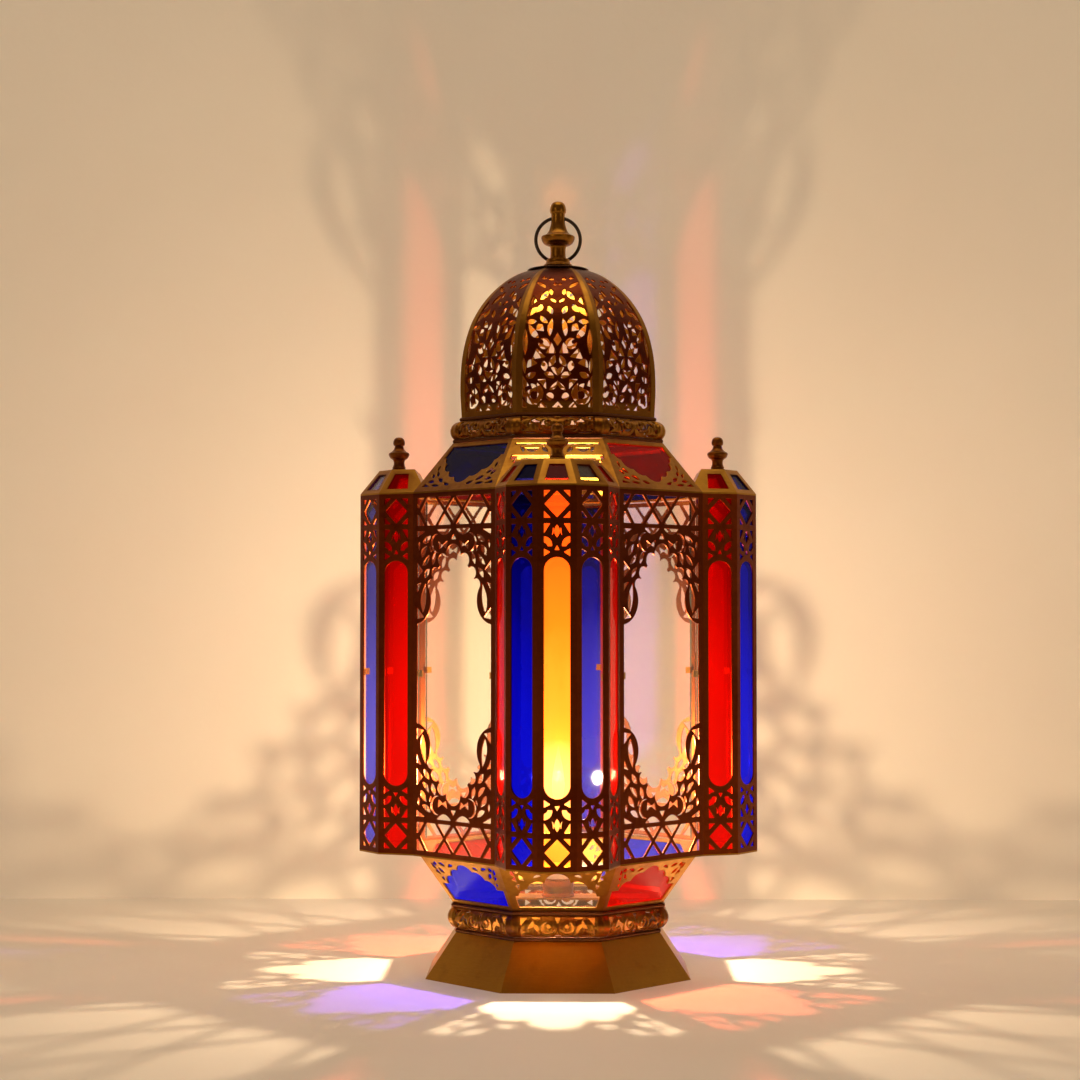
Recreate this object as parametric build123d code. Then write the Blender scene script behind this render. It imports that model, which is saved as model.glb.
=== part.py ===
from build123d import *
from math import atan2, cos, degrees, hypot, radians, sin, tan
import os

# A glazed candle lantern of folded brass sheet. Its body is a regular octagon with flats facing
# front, back, left and right. Each of those flats carries a tower whose plan is half a regular
# decagon. The four diagonal flats are arched panels, and the back right one is the door.
# Millimetres, +Z up, front is -Y, origin on the table under the dome's finial.

os.makedirs("parts", exist_ok=True)

# Plan
SIDES = 8
EIGHTH = 360 / SIDES
SIDE_RATIO = tan(radians(EIGHTH / 2))  # half a side over the apothem of an octagon
BODY_A = 110.0  # apothems have names that end in _A
TOWER_FACES = 5
TOWER_R = BODY_A * SIDE_RATIO
TOWER_TURN = 180 / TOWER_FACES
TOWER_FACE_R = TOWER_R * cos(radians(TOWER_TURN / 2))
TOWER_FACE_W = 2 * TOWER_R * sin(radians(TOWER_TURN / 2))
PANEL_W = 2 * TOWER_R
CARDINALS = {"right": 0, "back": 90, "left": 180, "front": 270}
DIAGONALS = {"back_right": 45, "back_left": 135, "front_left": 225, "front_right": 315}

# Levels
SKIRT_TOP = 34.0
BOWL_BOTTOM = 56.5
BODY_BOTTOM = 93.5
BODY_TOP = 369.0
TOWER_ROOF_TOP = 387.5
ROOF_TOP = 407.0
DOME_BOTTOM = 427.0
DOME_TOP = 545.4
CAP_TOP = 548.6
COLLAR_TOP = 554.6
TOTAL_H = 600.0

# Sheet, plates and glass
SHEET = 1.0
PLATE = 1.2
BEAD_H = 3.0
GLASS = 2.0
SEAT = 0.1  # gap between a pane and the sheet it lies against
FACE_BOTTOM = BODY_BOTTOM + PLATE
FACE_TOP = BODY_TOP - PLATE
FACE_H = FACE_TOP - FACE_BOTTOM
MID_Z = (FACE_TOP + FACE_BOTTOM) / 2

# Slanted walls: (apothem, level) at the foot and at the top of each
SKIRT = ((100.5, 0.0), (77.8, SKIRT_TOP))
BOWL = ((79.6, BOWL_BOTTOM), (104.5, BODY_BOTTOM))
ROOF = ((BODY_A, BODY_TOP), (80.6, ROOF_TOP))
DOME_CURVE = (
    (74.0, DOME_BOTTOM), (75.0, 450.0), (72.6, 479.5), (65.5, 503.0),
    (48.5, 527.5), (32.6, 540.0), (20.0, DOME_TOP),
)
TOWER_ROOF_SCALE = 0.67
BACK_LEAN = (5.6, 11.0)  # how far in and down the tower roof's back wall runs


def save(name, *shapes):
    """Writes one node: one solid, or a group of separate solids."""
    solids = [solid for shape in shapes for solid in shape.solids()]
    node = solids[0] if len(solids) == 1 else Compound(children=solids)
    export_step(node, f"parts/{name}.step")


def turned(shape, angle):
    return Rot(0, 0, angle) * shape


def around(shape, angles):
    return [turned(shape, angle) for angle in angles]


def octagon_ring(profile):
    """Carries a profile, drawn with X as the apothem, round the octagon with mitred corners."""
    reach = 2 * BODY_A
    wedge = Polygon((0, 0), (reach, -reach * SIDE_RATIO), (reach, reach * SIDE_RATIO), align=None)
    side = extrude(Plane.XZ * profile, amount=reach, both=True)
    side = side & extrude(wedge, amount=2 * TOTAL_H)
    ring = side
    for step in range(1, SIDES):
        ring += turned(side, step * EIGHTH)
    return ring


def outline(*points):
    return Polygon(*points, align=None)


def wall_length(wall):
    (foot_a, foot_z), (top_a, top_z) = wall
    return hypot(top_a - foot_a, top_z - foot_z)


def wall_plane(wall):
    """The +X side's plane: x across, y up the slope from the foot, z outwards."""
    (foot_a, foot_z), (top_a, top_z) = wall
    run, rise = top_a - foot_a, top_z - foot_z
    return Plane(origin=(foot_a, 0, foot_z), x_dir=(0, 1, 0), z_dir=(rise, 0, -run))


def wall_sheet(wall, thickness=SHEET):
    (foot_a, foot_z), (top_a, top_z) = wall
    inset = thickness * wall_length(wall) / (top_z - foot_z)
    return outline((foot_a, foot_z), (top_a, top_z), (top_a - inset, top_z), (foot_a - inset, foot_z))


def wall_patch(wall, side, foot, top):
    """A trapezium in a slanted wall, set in from its two folds and from its foot and top."""
    length = wall_length(wall)
    (foot_a, _), (top_a, _) = wall

    def half_width(up):
        return (foot_a + (top_a - foot_a) * up / length) * SIDE_RATIO - side

    low, high = half_width(foot), half_width(length - top)
    return outline((-low, foot), (low, foot), (high, length - top), (-high, length - top))


def wall_cut(wall, sketch):
    return extrude(wall_plane(wall) * sketch, amount=3 * SHEET, both=True)


def wall_pane(wall, sketch):
    seat = wall_plane(wall).offset(-SHEET - SEAT)
    return extrude(seat * sketch, amount=-GLASS)


# The towers' plan, seen for the tower on the +X side
def tower_corners(radius):
    angles = [-90 + TOWER_TURN * step for step in range(TOWER_FACES + 1)]
    return [(BODY_A + radius * cos(radians(a)), radius * sin(radians(a))) for a in angles]


def body_outline():
    """The whole plan: four half decagons joined by the four diagonal sides."""
    corners = []
    for angle in CARDINALS.values():
        c, s = cos(radians(angle)), sin(radians(angle))
        corners += [(x * c - y * s, x * s + y * c) for x, y in tower_corners(TOWER_R)]
    return corners


def inset_corners(corners, depth):
    """Moves every side of the plan inwards by depth and returns the new corners."""
    moved = []
    count = len(corners)
    for i, (x, y) in enumerate(corners):
        (px, py), (nx, ny) = corners[i - 1], corners[(i + 1) % count]
        a, b = atan2(y - py, x - px), atan2(ny - y, nx - x)
        middle = atan2(sin(a) + sin(b), cos(a) + cos(b))
        reach = depth / abs(cos((b - a) / 2))
        moved.append((x - sin(middle) * reach, y + cos(middle) * reach))
    return moved


PLAN = body_outline()
PLAN_IN = inset_corners(PLAN, SHEET)
PER_TOWER = TOWER_FACES + 1


def plan_strip(first, last):
    """The folded sheet that follows the plan from one corner to another, mitred at its ends."""
    count = len(PLAN)
    outer = [PLAN[i % count] for i in range(first, last + 1)]
    inner = [PLAN_IN[i % count] for i in range(last, first - 1, -1)]
    return Pos(0, 0, FACE_BOTTOM) * extrude(outline(*outer, *inner), amount=FACE_H)


def face_plane(distance, angle, centre=(0, 0)):
    """An upright wall's outer plane: x across, y up, z outwards, origin at its middle height."""
    c, s = cos(radians(angle)), sin(radians(angle))
    spot = (centre[0] + distance * c, centre[1] + distance * s, MID_Z)
    return Plane(origin=spot, x_dir=(-s, c, 0), z_dir=(c, s, 0))


def tower_face_plane(cardinal, face):
    bearing = cardinal + (face - TOWER_FACES // 2) * TOWER_TURN
    middle = (BODY_A * cos(radians(cardinal)), BODY_A * sin(radians(cardinal)))
    return face_plane(TOWER_FACE_R, bearing, middle)


# Openings in the upright faces
POST = 4.6
CELL_H = 19.8
BAR = 3.9
FLEUR_H = 24.0
WINDOW_HALF_H = FACE_H / 2 - 3.4
SLOT_R = TOWER_FACE_W / 2 - POST
ARCH_BAR = 2.6
LATTICE_H = 21.5
PANEL_HALF = PANEL_W / 2 - POST


def tower_openings():
    """The long round-ended slot, and a diamond with four corner triangles above and below it."""
    slot_end = WINDOW_HALF_H - CELL_H - BAR - FLEUR_H
    shapes = SlotOverall(2 * slot_end, 2 * SLOT_R, rotation=90)
    reach = CELL_H / 2 - 0.6
    corner = SLOT_R - 1.0
    for end in (-1, 1):
        middle = end * (WINDOW_HALF_H - CELL_H / 2)
        shapes += Pos(0, middle) * outline((-reach, 0), (0, -reach), (reach, 0), (0, reach))
        leaf = Ellipse(1.9, 5.0)
        fleur = end * (WINDOW_HALF_H - CELL_H - BAR - 7.5)
        shapes += Pos(0, fleur) * leaf
        for side in (-1, 1):
            shapes += Pos(side * corner * 0.75, fleur - end * 4.5) * Circle(2.2)
            for rise in (-1, 1):
                x, y = side * corner, middle + rise * (CELL_H / 2 - 0.4)
                shapes += outline((x, y), (x - side * 4.6, y), (x, y - rise * 4.6))
    return shapes


# The arch: round lobes that step down from its crown, then a swelling that runs out to the post.
# Each lobe is (distance from the middle, drop of its centre below the bar, radius).
LOBES = ((0.0, 19.7, 8.0), (12.0, 24.0, 5.3), (20.0, 33.6, 4.7), (24.9, 42.2, 4.4))
SWELL = ((28.9, 44.0), (25.8, 55.5))
SWELL_END = 71.5


def arch_opening():
    """The lobed arch at the top of a panel, mirrored to the bottom."""
    spring = WINDOW_HALF_H - LATTICE_H - ARCH_BAR
    (neck_x, neck_drop), (waist_x, waist_drop) = SWELL
    half = None
    for side in (-1, 1):
        edge = ThreePointArc(
            (side * neck_x, spring - neck_drop),
            (side * waist_x, spring - waist_drop),
            (side * PANEL_HALF, spring - SWELL_END),
        )
        rest = Polyline(
            (side * PANEL_HALF, spring - SWELL_END), (side * PANEL_HALF, 0), (0, 0),
            (0, spring - LOBES[0][1]), (side * LOBES[1][0], spring - LOBES[1][1]),
            (side * LOBES[2][0], spring - LOBES[2][1]), (side * neck_x, spring - neck_drop),
        )
        piece = make_face(edge + rest)
        half = piece if half is None else half + piece
        for away, drop, radius in LOBES:
            half += Pos(side * away, spring - drop) * Circle(radius)
    return half + mirror(half, Plane.XZ)


def lattice_openings():
    """Two hexagons with a diamond between them, top and bottom, as left by crossing bars."""
    width = 2 * PANEL_HALF
    tall = LATTICE_H / 2 - 0.8
    shapes = None
    for end in (-1, 1):
        middle = end * (WINDOW_HALF_H - LATTICE_H / 2)
        reach, flat = width * 0.155, width * 0.062
        hexagon = outline((-reach, 0), (-flat, -tall), (flat, -tall), (reach, 0), (flat, tall), (-flat, tall))
        gap = width * 0.1
        diamond = outline((-gap, 0), (0, -tall), (gap, 0), (0, tall))
        group = Pos(0, middle) * diamond
        for side in (-1, 1):
            group += Pos(side * width * 0.3, middle) * hexagon
        shapes = group if shapes is None else shapes + group
    return shapes


# Base: skirt, moulding between two beads
skirt = octagon_ring(wall_sheet(SKIRT))
foot_hem = octagon_ring(outline((94.0, 0), (99.6, 0), (99.2, SHEET), (94.0, SHEET)))
top_flange = octagon_ring(outline((66.0, 33.0), (77.4, 33.0), (77.2, 34.0), (66.0, 34.0)))
save("base_skirt", skirt + foot_hem + top_flange)

BEAD_INNER_A = 66.0


def bead(outer_a, level):
    """A flat ring with a half-round outer edge."""
    radius = BEAD_H / 2
    bar = Pos((BEAD_INNER_A + outer_a - radius) / 2, level + radius) * Rectangle(
        outer_a - radius - BEAD_INNER_A, BEAD_H
    )
    return octagon_ring(bar + Pos(outer_a - radius, level + radius) * Circle(radius))


def moulding(foot, bulge, top, pierced):
    """A half-round strip of sheet bent outwards between two beads."""
    outer = ThreePointArc(foot, bulge, top)
    inner = ThreePointArc(
        (top[0] - SHEET, top[1]), (bulge[0] - SHEET, bulge[1]), (foot[0] - SHEET, foot[1])
    )
    ends = Line(top, (top[0] - SHEET, top[1])) + Line((foot[0] - SHEET, foot[1]), foot)
    ring = octagon_ring(make_face(outer + inner + ends))
    middle = (foot[1] + top[1]) / 2
    drills = []
    for away, radius in pierced:
        for side in (-1, 1):
            hole = Plane(origin=(bulge[0] - 8, side * away, middle), z_dir=(1, 0, 0))
            drill = extrude(hole * Circle(radius), amount=14)
            drills += around(drill, [EIGHTH * step for step in range(SIDES)])
    return ring - drills


MOULDING_HOLES = ((6.0, 3.0), (14.5, 3.6), (23.0, 3.0))
save("base_bead_lower", bead(78.3, SKIRT_TOP))
save("base_bead_upper", bead(81.3, BOWL_BOTTOM - BEAD_H))
save("base_moulding", moulding(
    (77.3, SKIRT_TOP + BEAD_H), (83.4, (SKIRT_TOP + BOWL_BOTTOM) / 2),
    (79.8, BOWL_BOTTOM - BEAD_H), MOULDING_HOLES,
))
save("dome_bead_lower", bead(80.7, ROOF_TOP))
save("dome_bead_upper", bead(75.6, DOME_BOTTOM - BEAD_H))
save("dome_moulding", moulding(
    (79.6, ROOF_TOP + BEAD_H), (82.1, 415.8), (74.6, DOME_BOTTOM - BEAD_H), MOULDING_HOLES,
))

# Bowl and main roof: eight glazed trapezia each, coloured on the diagonals
WINDOW_MARGIN = 5.0
PANE_MARGIN = 3.4
COLOUR_BEARINGS = {
    "blue": (DIAGONALS["front_left"], DIAGONALS["back_right"]),
    "red": (DIAGONALS["front_right"], DIAGONALS["back_left"]),
    "clear": tuple(CARDINALS.values()),
}
for name, wall in (("bowl", BOWL), ("roof", ROOF)):
    frame = octagon_ring(wall_sheet(wall))
    window = wall_cut(wall, wall_patch(wall, WINDOW_MARGIN, WINDOW_MARGIN, WINDOW_MARGIN))
    save(f"{name}_frame", frame - around(window, [EIGHTH * step for step in range(SIDES)]))
    pane = wall_pane(wall, wall_patch(wall, PANE_MARGIN, PANE_MARGIN, PANE_MARGIN))
    for colour, bearings in COLOUR_BEARINGS.items():
        save(f"{name}_glass_{colour}", *around(pane, bearings))

# Body: floor and rim plates, four towers, three fixed panels
FLOOR_HOLE_A = 96.0
RIM_HOLE_A = 101.0


def body_plate(level, hole_a):
    hole = RegularPolygon(hole_a, SIDES, major_radius=False, rotation=EIGHTH / 2)
    return Pos(0, 0, level) * extrude(outline(*PLAN) - hole, amount=PLATE)


save("body_floor", body_plate(BODY_BOTTOM, FLOOR_HOLE_A))
save("body_rim", body_plate(FACE_TOP, RIM_HOLE_A))

tower_cut = tower_openings()
tower = plan_strip(0, TOWER_FACES) - [
    extrude(tower_face_plane(0, face) * tower_cut, amount=2 * SHEET, both=True)
    for face in range(TOWER_FACES)
]
for name, bearing in CARDINALS.items():
    save(f"tower_{name}", turned(tower, bearing))

# A panel is cut facing +X and then turned to its bearing; its ends are mitred to the towers
panel_cut = extrude(face_plane(BODY_A, 0) * (arch_opening() + lattice_openings()), amount=2 * SHEET, both=True)
MITRE = SHEET * tan(radians(TOWER_TURN * 0.375))
panel_plan = outline(
    (BODY_A, -PANEL_W / 2), (BODY_A, PANEL_W / 2),
    (BODY_A - SHEET, PANEL_W / 2 + MITRE), (BODY_A - SHEET, -PANEL_W / 2 - MITRE),
)
panel = Pos(0, 0, FACE_BOTTOM) * extrude(panel_plan, amount=FACE_H) - panel_cut
for name, bearing in DIAGONALS.items():
    if name != "back_right":
        save(f"panel_{name}", turned(panel, bearing))

# Body glass, each pane lying against the inside of its sheet
PANE_H = FACE_H - 4.0
TOWER_PANE_W = TOWER_FACE_W - 4.4
PANEL_PANE_W = PANEL_W - 9.0
TOWER_COLOURS = ("red", "blue", "amber", "clear", "red")


def upright_pane(plane, width):
    return extrude(plane.offset(-SHEET - SEAT) * Rectangle(width, PANE_H), amount=-GLASS)


# Faces are counted the way the plan runs, which is left to right as a person faces the tower
tower_panes = {colour: [] for colour in TOWER_COLOURS}
for bearing in CARDINALS.values():
    for face, colour in enumerate(TOWER_COLOURS):
        tower_panes[colour].append(upright_pane(tower_face_plane(bearing, face), TOWER_PANE_W))
for colour, panes in tower_panes.items():
    save(f"tower_glass_{colour}", *panes)
fixed_panels = [bearing for name, bearing in DIAGONALS.items() if name != "back_right"]
save("panel_glass", *[upright_pane(face_plane(BODY_A, b), PANEL_PANE_W) for b in fixed_panels])

# Tower roofs: five slanted glazed faces, a flat top and a back wall that leans on the main roof
ROOF_RISE = TOWER_ROOF_TOP - BODY_TOP
TOWER_ROOF_RUN = TOWER_FACE_R * (1 - TOWER_ROOF_SCALE)
TOWER_SLOPE = hypot(ROOF_RISE, TOWER_ROOF_RUN)
ROOF_LAP = 0.05


def keep_inside(solid, point, normal):
    """Cuts away what lies on the side of a plane that its normal points to."""
    return split(solid, bisect_by=Plane(origin=point, z_dir=normal), keep=Keep.BOTTOM)


def tower_roof_block(inset, floor, clear):
    """The roof's solid shape with every outer face moved in, down to floor and onto the main roof."""
    height = TOWER_ROOF_TOP - inset - floor
    block = Pos(BODY_A + 10, 0, floor + height / 2) * Box(90, 120, height)
    for face in range(TOWER_FACES):
        bearing = radians((face - TOWER_FACES // 2) * TOWER_TURN)
        normal = Vector(ROOF_RISE * cos(bearing), ROOF_RISE * sin(bearing), TOWER_ROOF_RUN).normalized()
        foot = Vector(BODY_A + TOWER_FACE_R * cos(bearing), TOWER_FACE_R * sin(bearing), BODY_TOP)
        block = keep_inside(block, foot - normal * inset, normal)
    lean_in, lean_down = BACK_LEAN
    back = Vector(-lean_down, 0, lean_in).normalized()
    block = keep_inside(block, Vector(BODY_A, 0, TOWER_ROOF_TOP) - back * inset, back)
    (foot_a, foot_z), (top_a, top_z) = ROOF
    down = Vector(foot_z - top_z, 0, top_a - foot_a).normalized()
    return keep_inside(block, Vector(foot_a, 0, foot_z) - down * clear, down)


def roof_patch(side, foot, top):
    low = TOWER_FACE_W / 2 - side
    high = low - (TOWER_FACE_W / 2) * (1 - TOWER_ROOF_SCALE) * (TOWER_SLOPE - foot - top) / TOWER_SLOPE
    return outline((-low, foot), (low, foot), (high, TOWER_SLOPE - top), (-high, TOWER_SLOPE - top))


def roof_face_plane(face):
    bearing = radians((face - TOWER_FACES // 2) * TOWER_TURN)
    c, s = cos(bearing), sin(bearing)
    foot = (BODY_A + TOWER_FACE_R * c, TOWER_FACE_R * s, BODY_TOP)
    return Plane(origin=foot, x_dir=(-s, c, 0), z_dir=(ROOF_RISE * c, ROOF_RISE * s, TOWER_ROOF_RUN))


FINIAL_R = 124.6  # the tower finial's distance from the lantern's axis
STUD_R = 1.5
CLEAR = 0.1
tower_roof = tower_roof_block(0, BODY_TOP, ROOF_LAP) - tower_roof_block(SHEET, BODY_TOP - 9, ROOF_LAP - 6)
tower_roof -= Pos(FINIAL_R, 0, TOWER_ROOF_TOP) * Cylinder(STUD_R + CLEAR, 4 * SHEET)
for face in range(TOWER_FACES):
    opening = roof_face_plane(face) * roof_patch(5.4, 3.6, 4.6)
    tower_roof -= extrude(opening, amount=2 * SHEET, both=True)
for name, bearing in CARDINALS.items():
    save(f"tower_roof_{name}", turned(tower_roof, bearing))
ROOF_PANE = 1.6
roof_panes = {colour: [] for colour in TOWER_COLOURS}
for face, colour in enumerate(TOWER_COLOURS):
    seat = roof_face_plane(face).offset(-SHEET - SEAT)
    roof_panes[colour] += around(extrude(seat * roof_patch(4.0, 2.4, 3.2), amount=-ROOF_PANE), CARDINALS.values())
for colour, panes in roof_panes.items():
    save(f"tower_roof_glass_{colour}", *panes)

# Tower finials: one turned piece each, with a stud through the roof and a nut under it
FINIAL_TOP = 414.5


def turned_piece(edges):
    """A solid of revolution about Z from edges drawn as (radius, level)."""
    return revolve(Plane.XZ * make_face(edges), axis=Axis.Z)


def knob(neck_r, neck_z, knob_r, top):
    """A round knob: a short shoulder out of the neck, then a quarter circle to the top."""
    centre = top - knob_r
    middle = ((neck_r + 2 * knob_r) / 3, (neck_z + centre) / 2)
    diagonal = knob_r * cos(radians(45))
    shoulder = ThreePointArc((neck_r, neck_z), middle, (knob_r, centre))
    return shoulder + ThreePointArc((knob_r, centre), (diagonal, centre + diagonal), (0, top))


def tower_finial():
    base = TOWER_ROOF_TOP
    edges = Polyline((0, base - 5), (STUD_R, base - 5), (STUD_R, base), (6.1, base), (6.1, base + 1.6))
    edges += ThreePointArc((6.1, base + 1.6), (4.9, base + 3.2), (4.7, base + 5.4))
    edges += Line((4.7, base + 5.4), (4.7, base + 9.0))
    edges += ThreePointArc((4.7, base + 9.0), (6.9, base + 10.6), (8.1, base + 13.2))
    edges += Line((8.1, base + 13.2), (8.1, base + 14.0))
    edges += ThreePointArc((8.1, base + 14.0), (4.6, base + 16.4), (3.3, base + 20.2))
    edges += knob(3.3, base + 20.2, 4.6, FINIAL_TOP)
    edges += Line((0, FINIAL_TOP), (0, base - 5))
    return turned_piece(edges)


def hex_nut(across_flats, bore_r, height):
    body = RegularPolygon(across_flats / 2, 6, major_radius=False) - Circle(bore_r)
    return extrude(body, amount=height)


finial = Pos(FINIAL_R, 0, 0) * tower_finial()
save("tower_finials", *around(finial, CARDINALS.values()))
nut = Pos(FINIAL_R, 0, TOWER_ROOF_TOP - SHEET - 2.4) * hex_nut(5.5, STUD_R + CLEAR, 2.4)
save("tower_finial_nuts", *around(nut, CARDINALS.values()))


# Dome: eight curved gores that meet at mitred folds, closed by a small flat disc
def dome_inner():
    """The dome's curve moved in by the sheet's thickness, along its own normal."""
    moved = []
    last = len(DOME_CURVE) - 1
    for i, (a, z) in enumerate(DOME_CURVE):
        (a0, z0), (a1, z1) = DOME_CURVE[max(i - 1, 0)], DOME_CURVE[min(i + 1, last)]
        length = hypot(a1 - a0, z1 - z0)
        moved.append((a - SHEET * (z1 - z0) / length, z + SHEET * (a1 - a0) / length))
    moved[0] = (DOME_CURVE[0][0] - SHEET, DOME_BOTTOM)
    moved[last] = (moved[last][0], DOME_TOP - SHEET)
    return moved


CROWN_STUD_R = 3.0
CROWN_HOLE_R = 3.3
inner_curve = dome_inner()
GORE_GAP = 0.1  # the gores' sides stand this far back from the folds' own planes, along X
gore_edges = Spline(*DOME_CURVE) + Spline(*inner_curve)
gore_edges += Line(DOME_CURVE[0], inner_curve[0]) + Line(DOME_CURVE[-1], inner_curve[-1])
gore = extrude(Plane.XZ * make_face(gore_edges), amount=BODY_A, both=True)
gore_side = (BODY_A - GORE_GAP) * SIDE_RATIO
gore = gore & extrude(outline((GORE_GAP, 0), (BODY_A, -gore_side), (BODY_A, gore_side)), amount=TOTAL_H)
# Piercings, as (distance from the gore's middle, level, half width, half height)
DOME_HOLES = (
    (0, 442, 4.0, 6.0), (14, 442, 6.0, 6.0), (7, 458, 3.0, 7.0), (21, 460, 4.0, 6.0), (0, 476, 3.4, 7.0),
    (13, 478, 4.0, 7.0), (0, 498, 3.0, 7.0), (10, 500, 3.0, 6.0), (0, 517, 3.0, 4.5), (7.5, 519, 2.2, 3.5),
)
dome_drills = []
for away, level, half_w, half_h in DOME_HOLES:
    for side in ((-1, 1) if away else (1,)):
        hole = Plane(origin=(24, side * away, level), x_dir=(0, 1, 0), z_dir=(1, 0, 0))
        dome_drills.append(extrude(hole * Ellipse(half_w, half_h), amount=70))
CROWN_DISC_A = 19.5
crown_disc = RegularPolygon(CROWN_DISC_A, SIDES, major_radius=False, rotation=EIGHTH / 2) - Circle(CROWN_HOLE_R)
crown_disc = Pos(0, 0, DOME_TOP - SHEET) * extrude(crown_disc, amount=SHEET)
save("dome_shell", *around(gore - dome_drills, [EIGHTH * step for step in range(SIDES)]), crown_disc)

# Crown: cap disc, collar, finial with its nut, and the hanging ring
cap = outline(
    (CROWN_HOLE_R, CAP_TOP - SHEET), (10.8, CAP_TOP - SHEET), (24.1, 545.0),
    (24.1, 545.8), (10.8, CAP_TOP), (CROWN_HOLE_R, CAP_TOP),
)
save("dome_cap", revolve(Plane.XZ * cap, axis=Axis.Z))
collar = Polyline((CROWN_HOLE_R, COLLAR_TOP), (CROWN_HOLE_R, CAP_TOP), (11.4, CAP_TOP), (11.4, 549.8))
collar += ThreePointArc((11.4, 549.8), (9.8, 551.2), (9.2, 553.2))
collar += Polyline((9.2, 553.2), (8.4, COLLAR_TOP), (CROWN_HOLE_R, COLLAR_TOP))
save("crown_collar", turned_piece(collar))

RING_WIRE_R = 1.35
RING_R = 17.5
RING_PIVOT_Z = 587.3
RING_HOLE_R = 2.5
RING_TILT = 18.3  # degrees from hanging straight down, resting clear behind the collar
CROWN_STUD_END = 534.0


def crown_finial():
    edges = Polyline(
        (0, CROWN_STUD_END), (CROWN_STUD_R, CROWN_STUD_END), (CROWN_STUD_R, COLLAR_TOP),
        (6.6, COLLAR_TOP), (6.0, 556.0), (6.0, 564.4),
    )
    edges += ThreePointArc((6.0, 564.4), (10.4, 566.6), (13.2, 570.6))
    edges += Line((13.2, 570.6), (13.2, 571.8))
    edges += ThreePointArc((13.2, 571.8), (7.6, 576.0), (5.5, 582.6))
    edges += Line((5.5, 582.6), (5.5, 590.9))
    edges += knob(5.5, 590.9, 6.3, TOTAL_H)
    edges += Line((0, TOTAL_H), (0, CROWN_STUD_END))
    hole = Pos(0, 0, RING_PIVOT_Z) * Rot(0, 90, 0) * Cylinder(RING_HOLE_R, 30)
    return turned_piece(edges) - hole


save("crown_finial", crown_finial())
save("crown_nut", Pos(0, 0, DOME_TOP - SHEET - 5) * hex_nut(10, CROWN_STUD_R + CLEAR, 5))
tilt = radians(RING_TILT)
ring_plane = Plane(
    origin=(0, RING_R * sin(tilt), RING_PIVOT_Z - RING_R * cos(tilt)),
    x_dir=(1, 0, 0), z_dir=(0, cos(tilt), sin(tilt)),
)
save("hanging_ring", ring_plane * Torus(RING_R, RING_WIRE_R))

# Door. Its own frame: x from the hinge side to the latch side, y up, z outwards
DOOR_BEARING = DIAGONALS["back_right"]
DOOR_GAP = 1.0
across = Vector(sin(radians(DOOR_BEARING)), -cos(radians(DOOR_BEARING)), 0)
outwards = Vector(cos(radians(DOOR_BEARING)), sin(radians(DOOR_BEARING)), 0)
hinge_corner = outwards * BODY_A - across * (PANEL_W / 2)


def door_spot(along, out, level):
    return hinge_corner + across * along + outwards * out + Vector(0, 0, level)


def door_plate(points, low, high):
    """A prism from a plan outline given as (along the door, outwards), between two levels."""
    spots = [door_spot(along, out, 0) for along, out in points]
    face = outline(*[(spot.X, spot.Y) for spot in spots])
    return Pos(0, 0, low) * extrude(face, amount=high - low)


def door_rod(along, out, low, high, radius):
    spot = door_spot(along, out, (low + high) / 2)
    return Pos(spot.X, spot.Y, spot.Z) * Cylinder(radius, high - low)


DOOR_END_GAP = 0.6
door = Pos(BODY_A - SHEET / 2, 0, MID_Z) * Box(SHEET, PANEL_W - 2 * DOOR_GAP, FACE_H - 2 * DOOR_END_GAP)
save("door_frame", turned(door - panel_cut, DOOR_BEARING))
save("door_glass", upright_pane(face_plane(BODY_A, DOOR_BEARING), PANEL_PANE_W))

# Two hinges: a leaf on the door, a leaf on the tower's side, and a pin through both barrels
HINGE_ALONG = 2.6
HINGE_OUT = 2.4
BARREL_R = 2.0
PIN_R = 1.0
PIN_FIT = 0.05
LEAF = 0.8
HINGE_LEVELS = (MID_Z - 92, MID_Z + 92)
BARREL_H = 9.0
valley = radians(180 - TOWER_TURN * 0.75)  # the angle between the door and the tower's side face


def tower_side(distance, lift):
    """A point on the tower's side face, measured from the hinge corner along it and off it."""
    along = distance * cos(valley) + lift * sin(valley)
    out = distance * sin(valley) - lift * cos(valley)
    return along, out


door_leaves, tower_leaves, pins = [], [], []
for level in HINGE_LEVELS:
    low, middle, high = level - BARREL_H, level, level + BARREL_H
    bore = door_rod(HINGE_ALONG, HINGE_OUT, low - 2, high + 2, PIN_R + PIN_FIT)
    leaf = door_plate(((1.4, 0), (1.4, LEAF), (4.4, LEAF), (4.4, 0)), low, middle - 0.2)
    leaf += door_plate(((2.0, 0), (2.0, HINGE_OUT), (3.4, HINGE_OUT), (3.4, 0)), low, middle - 0.2)
    leaf += door_rod(HINGE_ALONG, HINGE_OUT, low, middle - 0.2, BARREL_R)
    door_leaves.append(leaf - bore)
    near, far = 2.2, 6.6
    side = door_plate(
        (tower_side(near, 0), tower_side(far, 0), tower_side(far, LEAF), tower_side(near, LEAF)),
        middle + 0.2, high,
    )
    side += door_plate(
        (tower_side(near, 0.1), (HINGE_ALONG, HINGE_OUT - 0.6), (HINGE_ALONG, HINGE_OUT + 0.6),
         tower_side(near + 1.2, LEAF)),
        middle + 0.2, high,
    )
    side += door_rod(HINGE_ALONG, HINGE_OUT, middle + 0.2, high, BARREL_R)
    tower_leaves.append(side - bore)
    pin = door_rod(HINGE_ALONG, HINGE_OUT, low - 0.4, high, PIN_R)
    pins.append(pin + door_rod(HINGE_ALONG, HINGE_OUT, high, high + 1.2, BARREL_R))
save("hinge_leaves_door", *door_leaves)
save("hinge_leaves_tower", *tower_leaves)
save("hinge_pins", *pins)

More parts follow.
